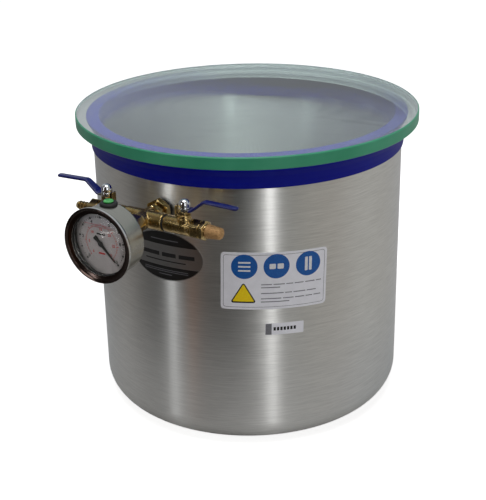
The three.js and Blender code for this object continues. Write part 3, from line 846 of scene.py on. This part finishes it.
def make_silencer(base):
    along = base @ ALONG_X
    hex_to, neck_to, bore = 64.0, 65.0, 3.6
    rows = [
        *hex_rows(8.3, OUTLET_FROM, hex_to, 0.97), (6.9, hex_to), (6.6, hex_to + 0.4), (6.6, neck_to),
        (bore, neck_to), (bore, SPIGOT_FROM), (SPIGOT_R, SPIGOT_FROM), (SPIGOT_R, OUTLET_FROM),
    ]
    body = spin("silencer_hexagon", rows, 96, along, True)
    finish(smooth(bevel(body, 0.2, 28), 30), BRASS, "silencer_body")
    outline = rounded([
        (bore, neck_to + 0.1), (6.3, neck_to + 0.1), (6.5, neck_to + 0.4), (5.35, 78.2, 0.8),
        (4.3, 79.4, 0.9), (0, 79.7),
    ], steps=4)
    rows = [*resampled(outline, 0.35), (0, 75.5), (bore, 74.7)]
    cone = spin("silencer_sinter_skin", rows, 160, along)
    grain(cone, 0.16, 1.5)
    finish(smooth(cone, 70), BRONZE, "silencer_sinter")


def resampled(points, step):
    """The same outline with a point at least every step."""
    out = [points[0]]
    for one, two in zip(points, points[1:]):
        count = max(1, round(math.dist(one, two) / step))
        for k in range(1, count + 1):
            out.append(tuple(a + (b - a) * k / count for a, b in zip(one, two)))
    return out


def grain(piece, depth, size):
    """Pushes a skin inward by a fine lumpy pattern, as small fused balls do."""
    normals = [v.normal.copy() for v in piece.data.vertices]
    for vertex, normal in zip(piece.data.vertices, normals):
        place = vertex.co / MM * size
        distance = noise.voronoi(place)[0][0]
        vertex.co -= normal * (min(1.0, distance * 1.3) * depth * MM)


def make_hose_barb(base):
    along = base @ ALONG_X
    start, neck, end, r, bore = 61.6, 4.4, 76.0, 4.2, 2.4
    pitch = (end - start - neck) / 3
    teeth = []
    for k in range(3):
        z = start + neck + k * pitch
        teeth += [(r - 1, z - 0.02), (r - 0.05, z + 0.1), (r, z + 0.35), (r - 1, z + pitch - 0.1)]
    rows = [
        (bore, SPIGOT_FROM), (SPIGOT_R, SPIGOT_FROM), (SPIGOT_R, OUTLET_FROM),
        *hex_rows(5.54, OUTLET_FROM, start, 0.97), (3.6, start), (r - 1, start + 0.5),
        *teeth, (r - 1.1, end - 0.2), (r - 1.3, end), (bore + 0.2, end), (bore, end - 0.2),
    ]
    barb = spin("hose_barb_skin", rows, 96, along, True)
    finish(smooth(barb, 28), BRASS, "hose_barb")


# ---- gauge ---------------------------------------------------------------------------------------
RIM_OUT = GAUGE_FACE - 6
WINDOW_R = 28
DIAL_FACE = outward("gauge_dial")[1]
POINTER_LOW, POINTER_HIGH = outward("pointer")
DIAL_START, DIAL_SWEEP = 225, -270
BLACK_R, RED_R = 24.0, 16.6
FILL_PLACE = PORT_LINE @ Matrix.Translation((0, CASE_R, sum(outward("vent_cap")) / 2))
FILL_PLACE @= Matrix.Rotation(-math.pi / 2, 4, "X")


def make_gauge_case():
    """A drawn steel case, open at the front, with an entry at the middle of its back."""
    r, back = CASE_R, CASE_BACK
    outline = rounded([
        (8.6, back + 0.4, 0.3), (11, back, 0.6), (r - 2.5, back, 1.5), (r, back + 2.6, 2.4),
        (r, RIM_OUT, 0.2), (r - 1, RIM_OUT, 0.2), (r - 1, back + 3.2, 1.6), (r - 3.2, back + 1.2, 1.0),
        (8.6, back + 1.3, 0.3),
    ], steps=5)
    case = spin("gauge_case_skin", outline, 192, PORT_LINE, True)
    boolean(case, [rod(5.3, -8, 8, FILL_PLACE)], "DIFFERENCE")
    finish(smooth(case, 40), STEEL, "gauge_case")


def make_bezel():
    """A crimped ring: a rolled outer lip, a deep polished hollow towards the window and a hem behind. The
    hollow is given a darker plating, as painted shade.
    """
    face, r, rim = GAUGE_FACE, BEZEL_R, RIM_OUT
    hem, hem_depth = CASE_R + 0.15, 3.6
    outline = rounded([
        (hem, rim + 0.2, 0.1), (CASE_R + 1.1, rim + 0.2, 0.4), (r - 0.7, rim + 2.0, 1.0),
        (r, rim + 3.2, 0.8), (r, face - 0.6, 0.5), (r - 0.6, face, 0.5), (r - 1.3, face - 0.3, 0.4),
        (r - 2.4, face - 2.2, 1.6), (WINDOW_R + 0.9, face - 2.8, 0.8), (WINDOW_R, face - 2.75, 0.25),
        (WINDOW_R, face - hem_depth, 0.15), (hem, face - hem_depth, 0.1),
    ], steps=6)
    bezel = spin("gauge_bezel_skin", outline, 192, PORT_LINE, True)
    finish(smooth(bezel, 50), BEZEL_METAL, "gauge_bezel")
    bezel.data.materials.append(BEZEL_PAINTED_SHADE)
    # The faces of the deep hollow that face out take the darker plating: painted shade.
    for polygon in bezel.data.polygons:
        if polygon.normal.y < -0.25 and polygon.center.y / MM < 3.2 - face - WALL_R:
            polygon.material_index = 1


def make_window():
    low, high = outward("gauge_window")
    r = node_box("gauge_window")[1].x
    outline = rounded([(0, low), (r, low, 0.3), (r, high, 0.3), (0, high)], steps=3)
    pane = spin("gauge_window_pane", outline, 128, PORT_LINE)
    flat_caps(smooth(pane, 40), Vector((0, 1, 0)))
    finish(pane, WINDOW, "gauge_window")


def make_glycerine():
    """The liquid behind the window: a thin body that shows its surface line, with a raised edge along it."""
    r, level = 27.3, 17.6
    half = math.sqrt(r * r - level * level)
    start = math.degrees(math.asin(level / r))
    outline = arc(0, 0, r, start, -180 - start, 96)
    count = 48
    for k in range(1, count):
        x = -half + 2 * half * k / count
        sag = 0.9 * (1 - (x / half) ** 2)
        outline.append((x, level + 0.5 - sag))
    outline.reverse()
    body = prism("glycerine_fill", [outline], POINTER_HIGH + 0.1, POINTER_HIGH + 0.4, PORT_LINE)
    flat_caps(smooth(bevel(body, 0.12, 40, 3), 50), Vector((0, 1, 0)))
    finish(body, LIQUID)
    runs = ((level, -15, 13), (level - 1.9, -8, 15))
    lines = [bar(x0, x1, y - 0.28, y + 0.28) for y, x0, x1 in runs]
    line = prism("glycerine_edge", lines, POINTER_HIGH + 0.05, POINTER_HIGH + 0.3, PORT_LINE)
    finish(line, MENISCUS)


def make_dial():
    low, high = outward("gauge_dial")
    outline = rounded([(1.4, low), (29.5, low, 0.1), (29.5, high, 0.25), (1.4, high)], steps=3)
    plate = spin("gauge_dial_plate", outline, 128, PORT_LINE, True)
    finish(smooth(plate, 40), DIAL_WHITE, "gauge_dial")


def dial_angle(part):
    return math.radians(DIAL_START + DIAL_SWEEP * part)


def polar(r, angle):
    return (r * math.cos(angle), r * math.sin(angle))


def radial_bar(angle, r0, r1, half):
    """A thin bar that points to the centre of the dial."""
    along = Vector(polar(1, angle))
    side = Vector((-along.y, along.x)) * half
    corners = (along * r0 - side, along * r1 - side, along * r1 + side, along * r0 + side)
    return [tuple(corner) for corner in corners]


def arc_band(r, width, start, stop, steps):
    """A band along an arc, as small quads."""
    outer = arc(0, 0, r + width / 2, start, stop, steps)
    inner = arc(0, 0, r - width / 2, start, stop, steps)
    return [[inner[k], outer[k], outer[k + 1], inner[k + 1]] for k in range(steps)]


def numerals(step, top, size, r, low):
    """Flat printed numbers from 0 to top, spread over the sweep, as thin meshes."""
    depth = 0.05
    on_dial = PORT_LINE.copy()
    on_dial.translation *= MM
    count = top // step
    made = []
    for k in range(count + 1):
        curve = bpy.data.curves.new("numeral", "FONT")
        curve.body = str(step * k)
        curve.size = size * MM
        curve.align_x, curve.align_y = "CENTER", "CENTER"
        curve.extrude = depth / 2 * MM
        curve.resolution_u = 4
        curve.offset = size * 0.03 * MM
        holder = in_scene("numeral", curve)
        graph = bpy.context.evaluated_depsgraph_get()
        mesh = bpy.data.meshes.new_from_object(holder.evaluated_get(graph))
        place = (*polar(r, dial_angle(k / count)), low + depth / 2)
        mesh.transform(on_dial @ Matrix.Translation(Vector(place) * MM))
        bpy.data.objects.remove(holder)
        made.append(in_scene("numeral", mesh))
    return made


def make_dial_print():
    """Two scales over 270 degrees: a black one outside and a red one inside, each with plain numbers."""
    low, high = DIAL_FACE + 0.01, DIAL_FACE + 0.06
    black = [bar(-4.5, 4.5, 8.0, 9.6)]
    for k in range(51):
        angle = dial_angle(k / 50)
        if k % 5 == 0:
            black.append(ellipse(*polar(BLACK_R, angle), 1.1, 1.1, 20))
        else:
            black.append(radial_bar(angle, BLACK_R - 0.7, BLACK_R + 0.7, 0.22))
    red = [bar(-3.6, 3.6, -10.2, -8.6), *arc_band(RED_R, 0.3, DIAL_START, DIAL_START + DIAL_SWEEP, 120)]
    for k in range(31):
        length, half = (2.0, 0.34) if k % 5 == 0 else (1.2, 0.18)
        red.append(radial_bar(dial_angle(k / 30), RED_R, RED_R + length, half))
    outer = [prism("scale_black", black, low, high, PORT_LINE), *numerals(2, 10, 4.2, 20.6, low)]
    inner = [prism("scale_red", red, low, high, PORT_LINE), *numerals(5, 30, 3.4, 13.2, low)]
    finish(join("dial_print_black", outer), INK_BLACK)
    finish(join("dial_print_red", inner), INK_RED)


def make_pointer():
    """A tapering blade with a broad tail and a domed hub."""
    turn = PORT_LINE @ Matrix.Rotation(math.radians(-45), 4, "Z")
    half = [(20.6, 0.45), (3.2, 1.4), (2.4, 1.8), (-2.4, 1.8), (-3.6, 1.6), (-7.2, 2.4), (-8.5, 1.9)]
    outline = [*half, *[(x, -y) for x, y in reversed(half)]]
    low, high = POINTER_LOW + 0.2, POINTER_LOW + 0.8
    blade = prism("pointer_blade", [list(reversed(outline))], low, high, turn)
    finish(smooth(bevel(blade, 0.1, 40), 40), BLACK, "pointer", "pointer")
    rows = rounded([
        (0, POINTER_LOW), (2.5, POINTER_LOW, 0.2), (2.6, POINTER_LOW + 0.9, 0.2),
        (2.1, POINTER_HIGH - 0.15, 0.3), (0, POINTER_HIGH),
    ], steps=3)
    hub = spin("pointer_hub", rows, 48, PORT_LINE)
    finish(smooth(hub, 45), BLACK, body="pointer")


def make_fill_plug():
    """A rubber plug whose brim follows the round case, with a green vent cap pressed into it."""
    outline = rounded([
        (0, -4.2), (7.8, -4.2), (7.8, 0.9, 0.6), (7.0, 2.0, 0.6), (5.4, 2.2, 0.3), (5.2, 1.7, 0.2),
        (3.4, 1.7, 0.2), (3.2, 0.9), (0, 0.9),
    ], steps=4)
    brim = spin("fill_plug_skin", outline, 96, FILL_PLACE)
    boolean(brim, [rod(CASE_R + 0.2, 60, 100, PORT_LINE, 192)], "DIFFERENCE")
    finish(smooth(bevel(brim, 0.15, 50), 45), RUBBER, "fill_plug")
    neck = rounded([(0, -2.4), (4.9, -2.4, 0.5), (4.9, 0.8), (0, 0.8)], steps=3)
    stopper = spin("fill_plug_stopper", neck, 64, FILL_PLACE)
    finish(smooth(stopper, 45), RUBBER)
    cap = rounded([
        (0, 1.1), (2.9, 1.1, 0.2), (2.9, 2.3), (4.3, 2.4, 0.2), (4.4, 3.0, 0.3), (3.8, 3.7, 0.4),
        (2.2, 3.8, 0.2), (1.9, 3.4, 0.2), (0, 3.4),
    ], steps=4)
    vent = spin("vent_cap_skin", cap, 96, FILL_PLACE)
    slot = prism("slot", [bar(-3.6, 3.6, -0.35, 0.35)], 3.3, 5, FILL_PLACE)
    boolean(vent, [slot], "DIFFERENCE")
    finish(smooth(bevel(vent, 0.12, 50), 45), GREEN, "vent_cap")


def make_gauge_socket():
    """A threaded tail, a flange, a long wrench hexagon and the bracket that carries the movement."""
    low, high = outward("gauge_socket")
    bore, front, hex_to = 2, CROSS_FRONT, 72.5
    rows = [
        (bore, low), (5.8, low), (6.3, low + 0.6), *thread_rows(6.3, low + 1, front, 1.34, 0.5),
        (6.2, front + 0.3), (8.0, front + 0.3), (8.2, front + 0.6), (8.2, 50.6), (7.4, 51.0),
        *hex_rows(7.0, 51.1, hex_to, 0.96), (bore, hex_to),
    ]
    socket = spin("gauge_socket_skin", rows, 96, PORT_LINE, True)
    finish(smooth(bevel(socket, 0.15, 28), 30), BRASS, "gauge_socket")
    bracket = prism("gauge_socket_bracket", [bar(-5, 5, -27, 6)], hex_to, high, PORT_LINE)
    finish(smooth(bevel(bracket, 0.4, 40, 3), 40), BRASS)


for side, turn in (("right", 0.0), ("left", math.pi)):
    place = valve_frame(turn)
    make_valve_body(side, place)
    make_gland(side, place)
    make_lever(side, place)
    make_dome_nut(side, place)
    make_joint_seal(side, place)
make_silencer(valve_frame(0.0))
make_hose_barb(valve_frame(math.pi))
make_gauge_case()
make_bezel()
make_window()
make_glycerine()
make_dial()
make_dial_print()
make_pointer()
make_fill_plug()
make_gauge_socket()


# ---- labels --------------------------------------------------------------------------------------
# Distances out from the wall: the films, and the thickness of one layer of ink.
FILM_LOW, FILM_HIGH, INK = 0.05, 0.35, 0.03
INK_TOP = FILM_HIGH + INK
LABEL_TILT = -1.5
DISC_PLACES, DISC_HEIGHT = (-28.6, 1.0, 31.2), 14.6
TEXT_ROWS = (
    (-3.4, ((-13, -3), (-1.6, 9), (10.4, 17), (18.4, 27), (28.6, 38), (39.4, 44.6))),
    (-6.4, ((-13, 4.6),)),
    (-12.2, ((-13, 8), (9.4, 16), (17.4, 29), (30.4, 39.6))),
    (-17.6, ((-13, 6), (7.4, 17.6), (19, 28), (29.4, 36), (37.4, 44.4))),
    (-20.8, ((-13, 13.6),)),
)


def round_box(u0, u1, v0, v1, r, steps=6):
    corners = [(u1 - r, v1 - r, 0), (u0 + r, v1 - r, 90), (u0 + r, v0 + r, 180), (u1 - r, v0 + r, 270)]
    return [point for cu, cv, a in corners for point in arc(cu, cv, r, a, a + 90, steps)]


def label_height(node):
    """The height of a label's middle, and half of what it measures upright."""
    low, high = node_box(node)
    return (low.z + high.z) / 2, (high.z - low.z) / 2


def wrap(name, outlines, low, high, centre, height, tilt=0.0):
    """Lays flat outlines on the wall. centre is an angle in degrees from -Y towards +X."""
    bm = bmesh.new()
    for outline in outlines:
        raise_outline(bm, outline, low, high)
    reach = max(abs(v.co.x) for v in bm.verts)
    step = 3
    cut = step - reach
    while cut < reach:
        geometry = bm.verts[:] + bm.edges[:] + bm.faces[:]
        bmesh.ops.bisect_plane(bm, geom=geometry, plane_co=(cut, 0, 0), plane_no=(1, 0, 0))
        cut += step
    start = math.radians(centre)
    c, s = math.cos(math.radians(tilt)), math.sin(math.radians(tilt))
    for vertex in bm.verts:
        x, y, out = vertex.co
        u, v = x * c - y * s, x * s + y * c
        a = start + u / WALL_R
        r = WALL_R + out
        vertex.co = (r * math.sin(a), -r * math.cos(a), height + v)
    return new_piece(name, bm)


def frame_outline(outer, inner):
    """A closed band between two outlines that have the same number of points, as small quads."""
    count = len(outer)
    return [[inner[k], outer[k], outer[(k + 1) % count], inner[(k + 1) % count]] for k in range(count)]


def badge_segment(half_u, half_v, low, high, steps=24):
    """The part of an oval between two heights."""
    def reach(v):
        return half_u * math.sqrt(max(0.0, 1 - (v / half_v) ** 2))

    heights = [low + (high - low) * k / steps for k in range(steps + 1)]
    right = [(reach(v), v) for v in heights]
    left = [(-u, v) for u, v in reversed(right)]
    whole = right + left
    return [p for k, p in enumerate(whole) if math.dist(p, whole[k - 1]) > 0.02]


def make_badge():
    """A blank oval plate: two dark fields round a silver band, and plain bars where print would be."""
    height, half_v = label_height("badge")
    half_u = WALL_R * math.asin(node_box("badge")[1].x / WALL_R)
    film = wrap("badge_film", [ellipse(0, 0, half_u, half_v, 96)], FILM_LOW, FILM_HIGH, 0, height)
    finish(smooth(film, 40), SILVER_FILM, "badge")
    band_low, band_high, edge = -10.4, 11.0, 0.7
    fields = [
        badge_segment(half_u - edge, half_v - edge, band_high, half_v - edge),
        badge_segment(half_u - edge, half_v - edge, edge - half_v, band_low),
    ]
    dark = wrap("badge_fields", fields, FILM_HIGH, INK_TOP, 0, height)
    finish(smooth(dark, 40), BADGE_FILM)
    rules = [bar(-24, 24, v, v + 0.5) for v in (-14.2, -16.0)]
    rules += [bar(-15, 15, 15.6, 16.3), bar(-7, 7, -18.9, -18.3)]
    pale = wrap("badge_rules", rules, INK_TOP, INK_TOP + INK, 0, height)
    finish(pale, INK_GREY)
    middle = [bar(u0, u1, -0.6, 3.4) for u0, u1 in ((-31, -6), (-3, 12), (15, 31))]
    middle.append(bar(-22, 22, -5.6, -4.4))
    finish(wrap("badge_bars", middle, FILM_HIGH, INK_TOP, 0, height), INK_BLACK)


def make_safety_label():
    """A white rounded card with three blue discs, a yellow triangle and rows of bars in place of text."""
    height, half_v = label_height("safety_label")
    centre, half_u = 39.2, 50.1
    spot = {"centre": centre, "height": height, "tilt": LABEL_TILT}
    card = round_box(-half_u, half_u, 1 - half_v, half_v - 1, 3.5)
    film = wrap("safety_card", [card], FILM_LOW, FILM_HIGH, **spot)
    finish(smooth(film, 40), LABEL_FILM, "safety_label")

    def layer(name, outlines, ink, low=FILM_HIGH):
        finish(wrap("safety_print_" + name, outlines, low, low + INK, **spot), ink)

    border = frame_outline(
        round_box(-half_u + 2.2, half_u - 2.2, -half_v + 3.2, half_v - 3.2, 2.6),
        round_box(-half_u + 2.6, half_u - 2.6, -half_v + 3.6, half_v - 3.6, 2.2),
    )
    bars = [bar(u0, u1, v - 0.45, v + 0.45) for v, groups in TEXT_ROWS for u0, u1 in groups]
    layer("grey", [*border, *bars], INK_GREY)
    layer("blue", [ellipse(u, DISC_HEIGHT, 12.1, 12.1) for u in DISC_PLACES], INK_BLUE)
    signs = [shape for k, u in enumerate(DISC_PLACES) for shape in disc_sign(k, u, DISC_HEIGHT)]
    layer("white", signs, INK_WHITE, INK_TOP)
    layer("black", [triangle(-29.2, -13.2, 12.6, 1.6)], INK_BLACK)
    layer("yellow", [triangle(-29.2, -13.2, 10.4, 0.6)], INK_YELLOW, INK_TOP)


def triangle(u, v, size, r):
    """An upright triangle with rounded corners."""
    corners = [polar(1.12 * size, math.radians(a)) for a in (90, 210, 330)]
    return rounded([(u + x, v - 0.12 * size + y, r) for x, y in corners])


def disc_sign(kind, u, v):
    """Plain marks with no meaning: three bars, two wide boxes or two tall ones."""
    if kind == 0:
        return [bar(u - 5.6, u + 5.6, v + k - 0.8, v + k + 0.8) for k in (-4.0, 0.0, 4.0)]
    near, far, half, r = (0.8, 6.6, 2.6, 1.0) if kind == 1 else (0.6, 3.4, 6.8, 0.8)
    return [round_box(u + a, u + b, v - half, v + half, r) for a, b in ((-far, -near), (near, far))]


def make_serial_label():
    """A small blank paper strip with a darker patch at its left end."""
    spot = {"centre": 42.4, "height": label_height("serial_label")[0], "tilt": LABEL_TILT}
    top = FILM_LOW + 0.15
    strip = wrap("serial_strip", [round_box(-18.4, 18.4, -5.9, 5.9, 0.4)], FILM_LOW, top, **spot)
    finish(smooth(strip, 40), LABEL_FILM, "serial_label")
    patch = wrap("serial_patch", [bar(-18.2, -12.4, -5.7, 5.7)], top, top + INK, **spot)
    finish(patch, INK_GREY)
    marks = [bar(3.2 * k - 10.6, 3.2 * k - 8.4, -1.6, 1.9) for k in range(7)]
    finish(wrap("serial_marks", marks, top, top + INK, **spot), INK_BLACK)


make_badge()
make_safety_label()
make_serial_label()


# ---- finishes of the CAD parts that stay ---------------------------------------------------------
VALVE_PARTS = {
    "inner_seat": PTFE, "outer_seat": PTFE, "stem_packing": PTFE, "ball": CHROME, "seat_retainer": BRASS,
    "stem": BRASS,
}


def refinish(node, material):
    """Gives a CAD part that has no visual piece of its own its material."""
    materials = bpy.data.objects[node].data.materials
    materials.clear()
    materials.append(material)


for part, material in VALVE_PARTS.items():
    refinish("left_" + part, material)
    refinish("right_" + part, material)
for part in ("bourdon_tube", "pointer_pinion", "sector_gear", "connecting_link", "movement_frame"):
    refinish(part, BRASS)
refinish("window_seal", RUBBER)


# ---- floor, light and camera ---------------------------------------------------------------------
def flat_disc(name, radius, height, paint):
    bm = bmesh.new()
    bmesh.ops.create_circle(bm, cap_ends=True, segments=96, radius=radius)
    mesh = bpy.data.meshes.new(name)
    bm.to_mesh(mesh)
    bm.free()
    mesh.materials.append(paint.material)
    disc = in_scene(name, mesh)
    disc.location.z = height
    return disc


def make_floor():
    """A wide white floor that metal and glass do not mirror, and the bench top that they do."""
    white = Paint("floor_white").set(Base_Color=(0.9, 0.9, 0.9), Roughness=0.9, Specular_IOR_Level=0.0)
    white.set(Emission_Color=(1.0, 1.0, 1.0), Emission_Strength=0.72)
    floor = flat_disc("floor", 6.0, -0.0006, white)
    floor.visible_glossy = False
    floor.visible_transmission = False
    floor.visible_diffuse = False
    grey = Paint("bench_grey").set(Base_Color=(0.6, 0.6, 0.6), Roughness=0.8, Specular_IOR_Level=0.1)
    bench = flat_disc("bench", 0.32, -0.0003, grey)
    bench.visible_camera = False
    bench.visible_shadow = False


# What the metal mirrors, all the way round: (azimuth from -Y towards +X, colour).
STUDIO_BANDS = (
    (-180, (0.42, 0.42, 0.42)), (-150, (0.46, 0.46, 0.46)), (-125, (0.27, 0.27, 0.27)),
    (-100, (0.26, 0.26, 0.26)), (-75, (0.25, 0.24, 0.23)), (-58, (0.12, 0.115, 0.11)),
    (-44, (0.06, 0.058, 0.056)), (-22, (0.05, 0.05, 0.048)), (-18, (0.07, 0.06, 0.055)),
    (-13, (0.26, 0.12, 0.06)), (-8, (0.05, 0.035, 0.03)), (4, (0.02, 0.015, 0.01)),
    (20, (0.03, 0.028, 0.026)), (30, (0.08, 0.077, 0.074)), (38, (0.26, 0.26, 0.255)),
    (56, (0.28, 0.28, 0.27)), (75, (0.38, 0.37, 0.345)), (100, (0.43, 0.41, 0.38)),
    (125, (0.50, 0.49, 0.46)), (150, (0.46, 0.45, 0.425)), (180, (0.42, 0.42, 0.42)),
)
ROOM = (0.56, 0.6, 0.65, 1)


def make_world():
    """White to the camera. Metal and glass mirror the bands, and a pale room above the bench behind."""
    world = bpy.data.worlds.new("studio")
    bpy.context.scene.world = world
    world.use_nodes = True
    tree = world.node_tree
    mirrored = tree.nodes["Background"]

    def maths(operation, one, two):
        return add_node(tree, "Math", {0: one, 1: two}, operation=operation).outputs[0]

    def ramp(value, low, high):
        return add_node(tree, "MapRange", {"Value": value, "From Min": low, "From Max": high}).outputs[0]

    direction = add_node(tree, "TexCoord").outputs["Generated"]
    x, y, z = add_node(tree, "SeparateXYZ", {0: direction}).outputs
    azimuth = maths("ARCTAN2", x, maths("MULTIPLY", y, -1))
    bands = add_node(tree, "ValToRGB", {0: ramp(azimuth, -math.pi, math.pi)})
    elements = bands.color_ramp.elements
    while len(elements) > 1:
        elements.remove(elements[-1])
    for k, (angle, colour) in enumerate(STUDIO_BANDS):
        place = (angle + 180) / 360
        element = elements[0] if k == 0 else elements.new(place)
        element.position = place
        element.color = (*colour, 1)
    behind = maths("MULTIPLY", ramp(y, 0.05, 0.45), ramp(z, 0.0, 0.25))
    room = add_node(tree, "Mix", {0: behind, 6: bands.outputs[0], 7: ROOM}, data_type="RGBA")
    tree.links.new(room.outputs[2], mirrored.inputs["Color"])
    seen = add_node(tree, "Background", {"Color": (1, 1, 1, 1)})
    by_camera = add_node(tree, "LightPath").outputs["Is Camera Ray"]
    either = add_node(tree, "MixShader", {0: by_camera, 1: mirrored.outputs[0], 2: seen.outputs[0]})
    tree.links.new(either.outputs[0], tree.nodes["World Output"].inputs["Surface"])


def area_light(name, place, target, size, radiance, colour=(1, 1, 1)):
    """A rectangular lamp whose power follows from how bright its face looks."""
    data = bpy.data.lights.new(name, "AREA")
    data.shape = "RECTANGLE"
    data.size, data.size_y = size
    data.energy = radiance * math.pi * size[0] * size[1]
    data.color = colour
    light = in_scene(name, data)
    light.location = place
    light.rotation_euler = (Vector(target) - Vector(place)).to_track_quat("-Z", "Y").to_euler()
    return light


def around(azimuth, distance, height):
    """A place at an azimuth from -Y towards +X."""
    a = math.radians(azimuth)
    return (distance * math.sin(a), -distance * math.cos(a), height)


def make_lights():
    middle = (0, 0, 0.2)
    area_light("strip_left", around(-25, 1.6, 0.75), middle, (0.075, 1.5), 9.0, (0.96, 0.98, 1.0))
    area_light("strip_right", around(45, 1.6, 0.75), middle, (0.13, 1.5), 7.0, (0.98, 0.99, 1.0))
    area_light("overhead", (0.1, -0.35, 1.7), (0, -0.05, 0.2), (1.1, 0.8), 4.0)


def make_camera():
    place = Vector((0.5600, -0.9488, 0.6081))
    target = Vector((-0.00577, -0.00346, 0.14217))
    roll = math.radians(-1.126)
    data = bpy.data.cameras.new("camera")
    data.lens = 82.06
    data.sensor_width = 36
    data.clip_start = 0.05
    camera = in_scene("camera", data)
    camera.location = place
    turn = (target - place).to_track_quat("-Z", "Y").to_matrix() @ Matrix.Rotation(roll, 3, "Z")
    camera.rotation_euler = turn.to_euler()
    bpy.context.scene.camera = camera


make_floor()
make_world()
make_lights()
make_camera()
bpy.context.scene.view_settings.view_transform = "Standard"
